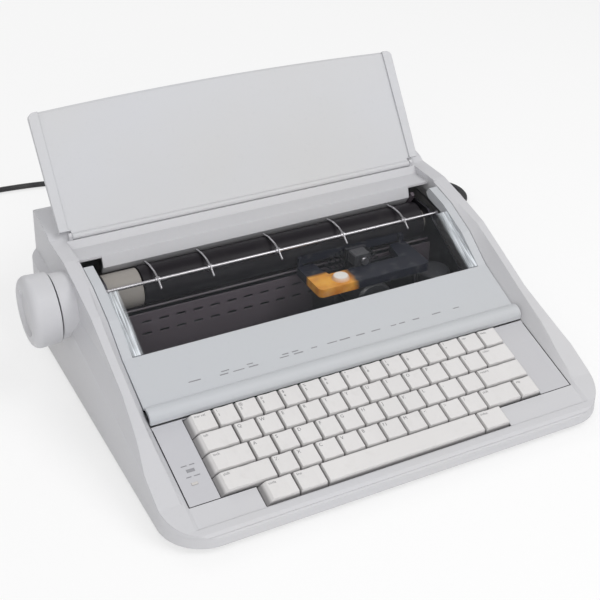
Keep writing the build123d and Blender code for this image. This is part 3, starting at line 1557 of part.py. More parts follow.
with BuildPart() as cord_coil:
    with BuildLine() as coil_path:
        Line(Vector(*coil_entry), coil_start)
        for (start, start_way), (end, end_way) in zip(stations, stations[1:]):
            joint, joint_way = biarc(start, start_way, end, end_way)
            TangentArc(start, joint, tangent=start_way)
            TangentArc(joint, end, tangent=joint_way)
        Line(stations[-1][0], plug_entry)
    with BuildSketch(Plane(origin=Vector(*coil_entry), z_dir=(-1, 0, 0))):
        Circle(cord_radius)
    sweep(path=coil_path.wire())
coil_length = coil_path.wire().length
coil_share = cord_coil.part.volume / (math.pi * cord_radius ** 2 * coil_length)
samples = 600
apart = round(5 * cord_diameter / (coil_length / samples))
track = [tuple(coil_path.wire() @ (i / samples)) for i in range(samples + 1)]
least_gap = min(
    math.dist(track[i], track[j]) for i in range(samples) for j in range(i + apart, samples + 1)
) - cord_diameter
print("coil length", round(coil_length), "volume share", round(coil_share, 3),
      "least gap to itself", round(least_gap, 2))
save(cord_coil, "cord_coil")


def plug_plane(reach):
    """Cross-section plane of the plug at a distance from where the cord enters."""
    return Plane(origin=plug_entry + Vector(0, reach, 0), x_dir=(1, 0, 0), z_dir=(0, 1, 0))


# Two-blade mains plug beside the coil
with BuildPart() as power_plug:
    with BuildSketch(plug_plane(0)):
        Circle(cord_radius + 1.2)
    extrude(amount=plug_neck)
    with BuildSketch(plug_plane(plug_neck)):
        RectangleRounded(12.0, 10.0, 3.0)
    with BuildSketch(plug_plane(plug_shoulder)):
        RectangleRounded(plug_width, plug_thickness, 4.0)
    loft()
    with BuildSketch(plug_plane(plug_shoulder)):
        RectangleRounded(plug_width, plug_thickness, 4.0)
    extrude(amount=plug_length - plug_shoulder)
    with BuildSketch(plug_plane(plug_length)):
        with GridLocations(blade_gap, 1, 2, 1):
            Rectangle(blade_thickness, blade_width)
    extrude(amount=blade_length)
save(power_plug, "power_plug")
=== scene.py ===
import math

import bmesh
import bpy
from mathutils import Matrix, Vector


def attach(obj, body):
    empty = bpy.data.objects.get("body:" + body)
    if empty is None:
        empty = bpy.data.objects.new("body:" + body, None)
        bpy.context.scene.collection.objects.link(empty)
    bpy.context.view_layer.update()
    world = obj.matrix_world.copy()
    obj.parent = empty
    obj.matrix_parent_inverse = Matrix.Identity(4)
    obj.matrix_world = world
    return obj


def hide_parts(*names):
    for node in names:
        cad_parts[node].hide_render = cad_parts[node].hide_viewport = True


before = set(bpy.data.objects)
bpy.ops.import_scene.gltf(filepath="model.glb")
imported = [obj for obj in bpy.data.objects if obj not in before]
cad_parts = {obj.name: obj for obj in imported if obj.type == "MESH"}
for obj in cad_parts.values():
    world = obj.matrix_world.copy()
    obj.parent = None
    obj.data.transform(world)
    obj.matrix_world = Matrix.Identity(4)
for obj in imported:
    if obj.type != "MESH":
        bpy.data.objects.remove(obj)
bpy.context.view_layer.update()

# Camera where the photographer stood: to the left of the machine and well above it.
# The lens is a moderate telephoto, level with the horizon to within a degree.
camera_data = bpy.data.cameras.new("camera")
camera_data.lens = 71.77
camera_data.sensor_width = 36.0
camera_data.clip_start = 0.05
camera = bpy.data.objects.new("camera", camera_data)
camera.location = (-0.40949, -0.76761, 0.61088)
camera.rotation_euler = (1.01721, -0.01067, -0.47382)
bpy.context.scene.collection.objects.link(camera)
bpy.context.scene.camera = camera
bpy.context.scene.view_settings.view_transform = "Standard"


# The mains lead: a 6 mm black sheathed cord of nearly two metres. It comes out of the rear wall
# through a ribbed sleeve, loops round on the table behind the machine, and the rest of it lies
# in a flat coil on the left with the plug beside it.
class Shade:
    """A socket in a material. Sums and products of sockets add their Math nodes."""

    def __init__(self, tree, socket=None):
        self.tree = tree
        self.socket = socket

    def node(self, kind, settings=None, sockets=None, out=0):
        """Adds a node: its settings first, then the values or links of its sockets."""
        node = self.tree.nodes.new(kind)
        for name, value in (settings or {}).items():
            setattr(node, name, value)
        for name, value in (sockets or {}).items():
            if isinstance(value, Shade):
                self.tree.links.new(value.socket, node.inputs[name])
            else:
                node.inputs[name].default_value = value
        return Shade(self.tree, node.outputs[out])

    def maths(self, operation, first, second=0.0):
        return self.node("ShaderNodeMath", {"operation": operation}, {0: first, 1: second})

    def __add__(self, other):
        return self.maths("ADD", self, other)

    __radd__ = __add__

    def __sub__(self, other):
        return self.maths("SUBTRACT", self, other)

    def __rsub__(self, other):
        return self.maths("SUBTRACT", other, self)

    def __mul__(self, other):
        return self.maths("MULTIPLY", self, other)

    __rmul__ = __mul__

    def along(self, axis):
        """One part of a vector: 0 for X, 1 for Y, 2 for Z."""
        return self.node("ShaderNodeSeparateXYZ", None, {"Vector": self}, out=axis)

    def limited(self):
        """The value held between 0 and 1."""
        return self.node("ShaderNodeClamp", None, {"Value": self})

    def above(self, low, high):
        """0 under low, 1 over high, and a straight climb between."""
        return self.node(
            "ShaderNodeMapRange", None,
            {"Value": self, "From Min": low, "From Max": high, "To Min": 0.0, "To Max": 1.0},
        )

    def mix(self, first, second):
        """One colour into another, by this value."""
        return self.node(
            "ShaderNodeMix", {"data_type": "RGBA"}, {0: self.limited(), 6: first, 7: second}, out=2
        )


def place_of(shade, stretch=(1.0, 1.0, 1.0)):
    """Place in the machine's frame, in metres, stretched along the axes."""
    here = shade.node("ShaderNodeTexCoord", out=3)
    return shade.node("ShaderNodeMapping", None, {"Vector": here, "Scale": stretch})


def noise(shade, where, scale, detail=2.0):
    return shade.node("ShaderNodeTexNoise", None, {"Vector": where, "Scale": scale, "Detail": detail})


def rgba(colour):
    return (*colour, 1.0) if len(colour) == 3 else colour


def finish_named(name, plain=None):
    """A new material: its shader, and a Shade to build on. Plain values sit on the sockets."""
    material = bpy.data.materials.new(name)
    material.use_nodes = True
    tree = material.node_tree
    shader = tree.nodes["Principled BSDF"]
    for socket, value in (plain or {}).items():
        shader.inputs[socket].default_value = value
    return material, shader, Shade(tree)


def feed(shade, shader, links):
    """Links what varies over the surface to the shader's sockets."""
    for socket, value in links.items():
        shade.tree.links.new(value.socket, shader.inputs[socket])


def bumped(shade, height, strength, distance, base=None):
    sockets = {"Strength": strength, "Distance": distance, "Height": height}
    if base is not None:
        sockets["Normal"] = base
    return shade.node("ShaderNodeBump", None, sockets)


def sheath(name, colour, rough):
    """Flexible vinyl: dark, with a soft sheen that dust and handling break up."""
    material, shader, shade = finish_named(name, {"Specular IOR Level": 0.4})
    where = place_of(shade)
    dust = noise(shade, where, 60.0, 4.0).above(0.45, 0.75)
    fine = noise(shade, where, 900.0, 2.0)
    feed(shade, shader, {
        "Base Color": (dust * 0.35).mix(rgba(colour), (0.10, 0.098, 0.095, 1)),
        "Roughness": dust * 0.2 + rough,
        "Normal": bumped(shade, fine, 0.25, 0.0002),
    })
    return material


cord_black = sheath("cord_black", (0.022, 0.022, 0.024), 0.42)
cord_radius = 0.003
lying = 0.0031
coil_middle = Vector((-0.204, 0.508))
coil_outer = 0.043
coil_pitch = 0.0078
coil_rise = 0.0068
points_in_turn = 16
polygon_growth = 1.0 / math.cos(math.pi / points_in_turn)
route = [
    (0.130, 0.208, 0.025), (0.130, 0.240, 0.025), (0.140, 0.268, 0.017), (0.168, 0.284, 0.007),
    (0.200, 0.272, lying), (0.226, 0.245, lying), (0.2497, 0.2184, lying), (0.2693, 0.202, lying),
    (0.2947, 0.202, lying), (0.3143, 0.2184, lying), (0.3187, 0.2435, lying), (0.3059, 0.2655, lying),
    (0.280, 0.282, lying), (0.235, 0.303, lying), (0.175, 0.328, lying), (0.108, 0.360, lying),
    (0.038, 0.400, lying), (-0.032, 0.436, lying), (-0.096, 0.458, lying), (-0.150, 0.465, lying),
    (-0.192, 0.465, lying),
]
for step in range(1, 5 * points_in_turn + 1):
    turns = step / points_in_turn
    if turns <= 2.5:
        radius, level = coil_outer - coil_pitch * turns, lying
    elif turns <= 3.0:
        share = (turns - 2.5) / 0.5
        radius = coil_outer - coil_pitch * 2.5
        level = lying + coil_rise * (share - math.sin(2 * math.pi * share) / (2 * math.pi))
    else:
        radius, level = coil_outer - coil_pitch * (5.5 - turns), lying + coil_rise
    turned = -math.pi / 2 - 2 * math.pi * turns
    route.append((
        coil_middle.x + radius * polygon_growth * math.cos(turned),
        coil_middle.y + radius * polygon_growth * math.sin(turned),
        level,
    ))
route += [
    (coil_middle.x - 0.020, coil_middle.y - 0.0395, lying + coil_rise),
    (coil_middle.x - 0.043, coil_middle.y - 0.033, lying + coil_rise),
    (coil_middle.x - 0.058, coil_middle.y - 0.017, 0.0088),
    (coil_middle.x - 0.060, coil_middle.y - 0.002, 0.0084),
    (coil_middle.x - 0.060, coil_middle.y + 0.006, 0.0084),
]
lead_curve = bpy.data.curves.new("mains_lead", "CURVE")
lead_curve.dimensions = "3D"
lead_curve.resolution_u = 8
lead_curve.bevel_depth = cord_radius
lead_curve.bevel_resolution = 4
line = lead_curve.splines.new("NURBS")
line.points.add(len(route) - 1)
for point, place in zip(line.points, route):
    point.co = (*place, 1.0)
line.order_u = 3
line.use_endpoint_u = True
lead_curve.materials.append(cord_black)
mains_lead = bpy.data.objects.new("mains_lead", lead_curve)
bpy.context.scene.collection.objects.link(mains_lead)
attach(mains_lead, "machine_body")
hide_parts("power_cord", "cord_coil")


def give(material, *names):
    """Gives CAD nodes a material in place of the plain one they were packed with."""
    for name in names:
        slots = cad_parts[name].data.materials
        slots.clear()
        slots.append(material)


plug_black = sheath("plug_black", (0.028, 0.028, 0.03), 0.3)
give(plug_black, "power_plug")
give(cord_black, "cord_strain_relief")


# Ribs of the strain relief: the sleeve is moulded with rings that let it bend evenly, each a
# little smaller than the one before it.
def new_tree(name, inputs):
    """An empty Geometry Nodes tree with named inputs, and a function that adds nodes to it."""
    tree = bpy.data.node_groups.new(name, "GeometryNodeTree")
    tree.interface.new_socket("Geometry", in_out="OUTPUT", socket_type="NodeSocketGeometry")
    for title, kind in inputs.items():
        tree.interface.new_socket(title, in_out="INPUT", socket_type="NodeSocket" + kind)
    entry = tree.nodes.new("NodeGroupInput")

    def add(kind, settings=None, sockets=None):
        node = tree.nodes.new(kind)
        for title, value in (settings or {}).items():
            setattr(node, title, value)
        for title, value in (sockets or {}).items():
            if isinstance(value, bpy.types.NodeSocket):
                tree.links.new(value, node.inputs[title])
            else:
                node.inputs[title].default_value = value
        return node

    return tree, entry, add


def grown(name, tree, values):
    """A plain mesh object from a tree and the values of its inputs."""
    host = bpy.data.objects.new(name + "_host", bpy.data.meshes.new(name + "_host"))
    bpy.context.scene.collection.objects.link(host)
    modifier = host.modifiers.new("grow", "NODES")
    modifier.node_group = tree
    sockets = {item.name: item.identifier for item in tree.interface.items_tree if item.in_out == "INPUT"}
    for title, value in values.items():
        modifier[sockets[title]] = value
    mesh = bpy.data.meshes.new_from_object(host.evaluated_get(bpy.context.evaluated_depsgraph_get()))
    host.modifiers.remove(modifier)
    bpy.data.objects.remove(host)
    made = bpy.data.objects.new(name, mesh)
    bpy.context.scene.collection.objects.link(made)
    return made


ring_tree, ring_in, ring_add = new_tree("rings_on_taper", {
    "Count": "Int", "Start": "Vector", "Step": "Vector", "Radius": "Float", "Last Share": "Float",
    "Width": "Float", "Finish": "Material",
})
ring_line = ring_add("GeometryNodeMeshLine", {"mode": "OFFSET"}, {
    "Count": ring_in.outputs["Count"], "Start Location": ring_in.outputs["Start"],
    "Offset": ring_in.outputs["Step"],
})
ring_shape = ring_add("GeometryNodeMeshCylinder", None, {
    "Vertices": 32, "Radius": ring_in.outputs["Radius"], "Depth": ring_in.outputs["Width"],
})
ring_index = ring_add("GeometryNodeInputIndex")
ring_scale = ring_add("ShaderNodeMapRange", None, {
    "Value": ring_index.outputs[0], "From Min": 0.0, "From Max": ring_in.outputs["Count"],
    "To Min": 1.0, "To Max": ring_in.outputs["Last Share"],
})
ring_sizes = ring_add("ShaderNodeCombineXYZ", None, {
    "X": ring_scale.outputs[0], "Y": ring_scale.outputs[0], "Z": 1.0,
})
ring_spread = ring_add("GeometryNodeInstanceOnPoints", None, {
    "Points": ring_line.outputs[0], "Instance": ring_shape.outputs[0],
    "Rotation": (math.pi / 2, 0.0, 0.0), "Scale": ring_sizes.outputs[0],
})
ring_real = ring_add("GeometryNodeRealizeInstances", None, {"Geometry": ring_spread.outputs[0]})
ring_coat = ring_add("GeometryNodeSetMaterial", None, {
    "Geometry": ring_real.outputs[0], "Material": ring_in.outputs["Finish"],
})
ring_add("NodeGroupOutput", None, {"Geometry": ring_coat.outputs[0]})
relief_ribs = grown("relief_ribs", ring_tree, {
    "Count": 9, "Start": (0.130, 0.1805, 0.025), "Step": (0.0, 0.0031, 0.0), "Radius": 0.0068,
    "Last Share": 0.63, "Width": 0.0013, "Finish": cord_black,
})
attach(relief_ribs, "machine_body")


# Studio: a plain white sheet under the machine, an even white room, and soft lamps. The main one
# hangs over the right-hand side, so the left flank of the case falls into a mild shade.
sheet_white, sheet_shader, sheet_shade = finish_named(
    "floor_white", {"Roughness": 0.9, "Specular IOR Level": 0.1}
)
paper_tone = noise(sheet_shade, place_of(sheet_shade), 3.0, 2.0)
feed(sheet_shade, sheet_shader, {
    "Base Color": paper_tone.mix((0.93, 0.93, 0.93, 1), (0.95, 0.95, 0.95, 1)),
})
rays = sheet_shade.tree.nodes.new("ShaderNodeLightPath")
seen = sheet_shade.maths("MAXIMUM", Shade(sheet_shade.tree, rays.outputs["Is Camera Ray"]),
                         Shade(sheet_shade.tree, rays.outputs["Is Glossy Ray"]))
seen = sheet_shade.maths("MAXIMUM", seen, Shade(sheet_shade.tree, rays.outputs["Is Transmission Ray"]))
glow = sheet_shade.node("ShaderNodeEmission", None, {"Color": (1, 1, 1, 1), "Strength": 1.0})
blend = sheet_shade.tree.nodes.new("ShaderNodeMixShader")
sheet_shade.tree.links.new((seen * 0.62).socket, blend.inputs[0])
sheet_shade.tree.links.new(sheet_shader.outputs[0], blend.inputs[1])
sheet_shade.tree.links.new(glow.socket, blend.inputs[2])
sheet_shade.tree.links.new(blend.outputs[0], sheet_shade.tree.nodes["Material Output"].inputs[0])
floor_mesh = bpy.data.meshes.new("floor")
floor_mesh.from_pydata([(-6, -6, 0), (6, -6, 0), (6, 6, 0), (-6, 6, 0)], [], [(0, 1, 2, 3)])
floor_mesh.materials.append(sheet_white)
floor = bpy.data.objects.new("floor", floor_mesh)
bpy.context.scene.collection.objects.link(floor)

room = bpy.data.worlds.new("room")
bpy.context.scene.world = room
room.use_nodes = True
room_shade = Shade(room.node_tree)
room_rays = room.node_tree.nodes.new("ShaderNodeLightPath")
room_seen = room_shade.maths("MAXIMUM", Shade(room.node_tree, room_rays.outputs["Is Camera Ray"]),
                             Shade(room.node_tree, room_rays.outputs["Is Transmission Ray"]))
background = room.node_tree.nodes["Background"]
background.inputs["Color"].default_value = (1, 1, 1, 1)
room.node_tree.links.new((room_seen * 0.5 + 0.5).socket, background.inputs["Strength"])


def lamp(name, place, aim, size, power):
    light = bpy.data.lights.new(name, "AREA")
    light.shape = "DISK"
    light.size = size
    light.energy = power
    hung = bpy.data.objects.new(name, light)
    hung.location = place
    hung.rotation_euler = (Vector(aim) - Vector(place)).to_track_quat("-Z", "Y").to_euler()
    bpy.context.scene.collection.objects.link(hung)


lamp("main_lamp", (0.9, -0.9, 1.9), (0, 0, 0.05), 1.3, 17.0)
lamp("fill_lamp", (-0.8, -1.7, 1.1), (0, 0, 0.05), 1.4, 13.0)
lamp("rear_lamp", (-0.2, 1.7, 1.6), (0, 0.05, 0.1), 1.2, 7.0)


# The case: two injection moulded halves in light grey styrene, joined by screws from below.
# The mould was spark-eroded, so faces carry a fine even grain, and the plastic has aged a
# little warmer where light fell on it, with faint scuffs and shine on the rims.
def moulding(name, colour, rough=0.48, grain=0.35, age=0.5):
    """Grained styrene with rounded edges, slow changes of tone and rubbed corners."""
    material, shader, shade = finish_named(name, {"Specular IOR Level": 0.4})
    where = place_of(shade)
    eased = shade.node("ShaderNodeBevel", {"samples": 4}, {"Radius": 0.0007})
    true_face = shade.node("ShaderNodeNewGeometry", out=1)
    facing = shade.node(
        "ShaderNodeVectorMath", {"operation": "DOT_PRODUCT"}, {0: eased, 1: true_face}, out=1
    )
    edge = (1.0 - facing).above(0.01, 0.25)
    cloud = noise(shade, where, 5.0, 3.0)
    specks = noise(shade, where, 260.0, 3.0).above(0.60, 0.80)
    wear = noise(shade, where, 38.0, 4.0).above(0.42, 0.62)
    light = tuple(min(1.0, c * 1.05) for c in colour)
    warm = (colour[0] * 1.0, colour[1] * 0.985, colour[2] * 0.94)
    tone = (cloud.above(0.35, 0.7) * age).mix(rgba(colour), rgba(warm))
    tone = (specks * 0.10).mix(tone, rgba(tuple(c * 0.72 for c in colour)))
    tone = (edge * wear * 0.6).mix(tone, rgba(light))
    fine = noise(shade, where, 2300.0, 1.0) + noise(shade, where, 620.0, 2.0) * 0.6
    feed(shade, shader, {
        "Base Color": tone,
        "Roughness": cloud * 0.10 + (rough - 0.05) - edge * 0.10,
        "Normal": bumped(shade, fine, grain, 0.00012, eased),
    })
    return material


case_grey = moulding("case_grey", (0.595, 0.595, 0.62))
deck_grey = moulding("deck_grey", (0.545, 0.545, 0.575), rough=0.52)
cover_grey = moulding("cover_grey", (0.537, 0.553, 0.580))
give(case_grey, "upper_case", "lower_case", "platen_knob")
give(cover_grey, "top_cover")
give(deck_grey, "keyboard_deck")
support_grey = moulding("support_grey", (0.60, 0.605, 0.63), rough=0.5, age=0.8)
give(support_grey, "paper_support")
foot_rubber = sheath("foot_rubber", (0.03, 0.03, 0.03), 0.7)
give(foot_rubber, "rubber_feet")


# Sheet steel and bright parts of the mechanism: zinc-plated folded plates, ground rails, and
# chrome-plated wire. Plating shows fine rolling lines and small patches of dulling.
def plated(name, colour, rough, lines=(40.0, 900.0, 900.0), dull=0.25):
    material, shader, shade = finish_named(name, {"Metallic": 1.0})
    drawn = noise(shade, place_of(shade, lines), 1.0, 3.0)
    patches = noise(shade, place_of(shade), 45.0, 4.0).above(0.5, 0.75)
    feed(shade, shader, {
        "Base Color": (patches * 0.5).mix(rgba(colour), rgba(tuple(c * 0.6 for c in colour))),
        "Roughness": drawn * 0.12 + patches * dull + rough,
        "Normal": bumped(shade, drawn, 0.12, 0.0001),
    })
    return material


black_zinc = plated("black_zinc", (0.075, 0.073, 0.085), 0.42)
chrome = plated("chrome_wire", (0.46, 0.45, 0.47), 0.22, dull=0.12)
screw_zinc = plated("screw_zinc", (0.50, 0.50, 0.50), 0.35)
give(black_zinc, "mechanism_frame", "keyboard_plate", "carriage_frame")
give(chrome, "paper_bail", "bail_fingers", "carriage_rails", "platen_shaft", "hammer")
give(screw_zinc, "case_screws")


# Platen and feed rollers: hard black rubber ground true on a lathe, glossy from years of paper.
# The finest turning marks run round it, and pale paper dust sits in bands.
def ground_rubber(name, colour, rough):
    material, shader, shade = finish_named(name, {"Specular IOR Level": 0.18})
    rings = noise(shade, place_of(shade, (2600.0, 30.0, 30.0)), 1.0, 2.0)
    dust = noise(shade, place_of(shade, (60.0, 20.0, 20.0)), 1.0, 4.0).above(0.5, 0.85)
    feed(shade, shader, {
        "Base Color": (dust * 0.04).mix(rgba(colour), (0.28, 0.27, 0.26, 1)),
        "Roughness": dust * 0.2 + rings * 0.08 + rough,
        "Normal": bumped(shade, rings, 0.10, 0.00008),
    })
    return material


roller_black = ground_rubber("roller_black", (0.010, 0.008, 0.011), 0.36)
give(roller_black, "platen_roller", "feed_rollers")
belt_black = ground_rubber("belt_black", (0.02, 0.02, 0.02), 0.5)
give(belt_black, "carriage_belt")


# Inner mouldings: charcoal polycarbonate for the paper pan, the deflector and the release lever,
# beige nylon for the platen's bearings, and white acetal for gears and pulleys.
charcoal = moulding("charcoal_moulding", (0.095, 0.078, 0.093), rough=0.5, grain=0.25, age=0.2)
beige = moulding("beige_nylon", (0.30, 0.28, 0.26), rough=0.5, grain=0.3)
acetal = moulding("white_acetal", (0.72, 0.71, 0.67), rough=0.32, grain=0.1)
nylon_black = moulding("black_nylon", (0.022, 0.022, 0.026), rough=0.35, grain=0.1, age=0.2)
give(charcoal, "paper_pan", "paper_deflector", "paper_release_lever")
give(beige, "platen_bearings")
give(acetal, "platen_gear", "feed_pinion", "drive_pulley", "idler_pulley")
give(nylon_black, "print_wheel")


# Painted shade in the mechanism bay: a black sheet on the tray's floor under the carriage,
# put there to make the bay look dark.
painted_shade_black = moulding("painted_shade_black", (0.018, 0.018, 0.022), rough=0.6, grain=0.5, age=0.3)
shade_sheet_size = Vector((0.314, 0.116, 0.0008))
shade_sheet_middle = Vector((0.0, 0.0575, 0.0083))
shade_sheet_mesh = bpy.data.meshes.new("bay_shade_sheet")
shade_sheet_form = bmesh.new()
bmesh.ops.create_cube(shade_sheet_form, size=1.0)
for corner in shade_sheet_form.verts:
    corner.co = shade_sheet_middle + corner.co * shade_sheet_size
shade_sheet_form.to_mesh(shade_sheet_mesh)
shade_sheet_form.free()
shade_sheet_mesh.materials.append(painted_shade_black)
bay_shade_sheet = bpy.data.objects.new("bay_shade_sheet", shade_sheet_mesh)
bpy.context.scene.collection.objects.link(bay_shade_sheet)
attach(bay_shade_sheet, "machine_body")


# Motors and solenoid: pressed steel cans under black baked enamel.
def enamel(name, colour, rough):
    material, shader, shade = finish_named(name, {"Specular IOR Level": 0.5})
    where = place_of(shade)
    edge_normal = shade.node("ShaderNodeBevel", {"samples": 4}, {"Radius": 0.0005})
    orange_peel = noise(shade, where, 320.0, 2.0)
    chips = noise(shade, where, 90.0, 5.0).above(0.66, 0.72)
    feed(shade, shader, {
        "Base Color": (chips * 0.6).mix(rgba(colour), (0.30, 0.30, 0.31, 1)),
        "Roughness": chips * 0.2 + orange_peel * 0.1 + rough,
        "Normal": bumped(shade, orange_peel, 0.15, 0.0002, edge_normal),
    })
    return material


motor_black = enamel("motor_black", (0.035, 0.035, 0.04), 0.3)
give(motor_black, "feed_motor", "wheel_motor", "hammer_solenoid", "carriage_motor")
core_brown = enamel("core_brown", (0.14, 0.11, 0.09), 0.45)
give(core_brown, "transformer")
rocker_black = enamel("rocker_black", (0.02, 0.02, 0.02), 0.25)
give(rocker_black, "power_switch")


# Ribbon cassette: the front of its left end is dyed orange styrene with a white winding knob, and
# the rest of its body is a dark blue-black moulding. The lamp's lens is dyed pale grey.
def dyed(name, colour, pale, rough):
    material, shader, shade = finish_named(
        name, {"Specular IOR Level": 0.5, "Coat Weight": 0.3, "Coat Roughness": 0.1}
    )
    where = place_of(shade)
    flow = noise(shade, place_of(shade, (18.0, 60.0, 60.0)), 1.0, 2.0)
    fine = noise(shade, where, 500.0, 2.0)
    feed(shade, shader, {
        "Base Color": flow.above(0.3, 0.7).mix(rgba(colour), rgba(pale)),
        "Roughness": flow * 0.1 + rough,
        "Normal": bumped(shade, fine, 0.1, 0.0001),
    })
    return material


def two_tone(name):
    """Cassette finish: orange at the left end, a white knob, blue-black elsewhere."""
    material, shader, shade = finish_named(
        name, {"Specular IOR Level": 0.12, "Coat Weight": 0.04, "Coat Roughness": 0.2}
    )
    where = place_of(shade)
    flow = noise(shade, place_of(shade, (60.0, 90.0, 90.0)), 1.0, 3.0)
    fine = noise(shade, where, 500.0, 2.0)
    scuffs = noise(shade, where, 120.0, 4.0).above(0.55, 0.72)
    dark_part = shade.maths(
        "MAXIMUM", (where.along(0) + flow * 0.006).above(0.050, 0.056), where.along(1).above(0.030, 0.034)
    )
    from_knob = shade.node(
        "ShaderNodeVectorMath", {"operation": "DISTANCE"},
        {0: place_of(shade, (1.0, 1.0, 0.0)), 1: (0.040, 0.018, 0.0)}, out=1,
    )
    knob = 1.0 - from_knob.above(0.0054, 0.0085)
    orange = flow.above(0.3, 0.7).mix((0.50, 0.17, 0.02, 1), (0.72, 0.36, 0.06, 1))
    tone = dark_part.mix(orange, (0.012, 0.013, 0.022, 1))
    tone = (scuffs * 0.15).mix(tone, (0.30, 0.29, 0.28, 1))
    tone = knob.mix(tone, (0.72, 0.70, 0.67, 1))
    feed(shade, shader, {
        "Base Color": tone,
        "Roughness": flow * 0.1 + scuffs * 0.15 + 0.28,
        "Normal": bumped(shade, fine, 0.1, 0.0001),
    })
    return material


cassette_finish = two_tone("cassette_finish")
give(cassette_finish, "ribbon_cassette")
lens_pale = dyed("lens_pale", (0.55, 0.52, 0.50), (0.62, 0.60, 0.58), 0.2)
give(lens_pale, "status_light")


# Circuit board: green lacquer over copper tracks.
board_green, board_shader, board_shade = finish_named("board_green", {"Specular IOR Level": 0.5})
tracks = board_shade.node(
    "ShaderNodeTexBrick", {"offset": 0.5},
    {"Vector": place_of(board_shade), "Scale": 90.0, "Mortar Size": 0.03, "Color1": (0, 0, 0, 1),
     "Color2": (0, 0, 0, 1), "Mortar": (1, 1, 1, 1)}, out=1,
)
feed(board_shade, board_shader, {
    "Base Color": tracks.mix((0.02, 0.10, 0.05, 1), (0.05, 0.20, 0.10, 1)),
    "Roughness": tracks * 0.1 + 0.3,
})
give(board_green, "main_board")


# Window: a flat sheet of clear acrylic held between the cover's arms, with a faint haze and
# hairline rubs from dusting, and painted reflections as whitish streaks on its cheeks.
acrylic, acrylic_shader, acrylic_shade = finish_named(
    "window_acrylic", {"Base Color": (0.80, 0.84, 0.88, 1), "Specular IOR Level": 0.18, "IOR": 1.49}
)
acrylic.surface_render_method = "BLENDED"
rubs = noise(acrylic_shade, place_of(acrylic_shade, (25.0, 420.0, 420.0)), 1.0, 3.0).above(0.55, 0.8)
haze = noise(acrylic_shade, place_of(acrylic_shade), 14.0, 3.0)
# Painted reflection: the cheeks at both ends turn more opaque and whitish, in streaks.
cheek = acrylic_shade.maths("ABSOLUTE", place_of(acrylic_shade).along(0)).above(0.1545, 0.1585)
cheek_reflection_streaks = noise(acrylic_shade, place_of(acrylic_shade, (700.0, 30.0, 30.0)), 1.0, 3.0).above(0.42, 0.66)
feed(acrylic_shade, acrylic_shader, {
    "Alpha": cheek * (cheek_reflection_streaks * 0.7 + haze * 0.2 + 0.10) + rubs * 0.014 + 0.010,
    "Roughness": rubs * 0.15 + haze * 0.06 + 0.03,
})
give(acrylic, "window")


# Keys: caps moulded in satin off-white styrene, a tone warmer than the case, with shallow dished
# tops that fingers have polished. The skirts darken towards the deck with painted shade in the gaps.
deck_turn = math.radians(16.5)
deck_corner = Vector((-0.1478, -0.0707, 0.0439))
deck_level = deck_corner.z * math.cos(deck_turn) - deck_corner.y * math.sin(deck_turn)


def on_deck(across, up, off=0.0):
    """Place of a point given across, up and off the sloping keyboard deck."""
    return (
        deck_corner.x + across,
        deck_corner.y + up * math.cos(deck_turn) - off * math.sin(deck_turn),
        deck_corner.z + up * math.sin(deck_turn) + off * math.cos(deck_turn),
    )


def keycap(name, colour):
    material, shader, shade = finish_named(name, {"Specular IOR Level": 0.45})
    where = place_of(shade)
    eased = shade.node("ShaderNodeBevel", {"samples": 6}, {"Radius": 0.0011})
    top = shade.node("ShaderNodeNewGeometry", out=1).along(2).above(0.86, 0.97)
    tone_noise = noise(shade, where, 24.0, 2.0)
    grime = noise(shade, where, 150.0, 3.0).above(0.55, 0.8)
    fine = noise(shade, where, 1500.0, 1.0)
    tone = tone_noise.above(0.3, 0.7).mix(rgba(colour), rgba(tuple(c * 0.96 for c in colour)))
    tone = (grime * 0.12).mix(tone, (0.45, 0.43, 0.40, 1))
    lift = where.along(2) * math.cos(deck_turn) - where.along(1) * math.sin(deck_turn) - deck_level
    # Painted shade: the skirts turn dark near the deck, where shade falls in the gaps between keys.
    tone = ((1.0 - lift.above(0.0002, 0.0024)) * 0.75).mix(tone, (0.16, 0.155, 0.16, 1))
    feed(shade, shader, {
        "Base Color": tone,
        "Roughness": 0.46 - top * 0.12 + tone_noise * 0.06,
        "Normal": bumped(shade, fine, 0.15, 0.0001, eased),
    })
    return material


key_white = keycap("key_white", (0.74, 0.725, 0.72))
key_nodes = [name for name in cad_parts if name.endswith(("_key", "_keys")) or name == "space_bar"]
give(key_white, *key_nodes)


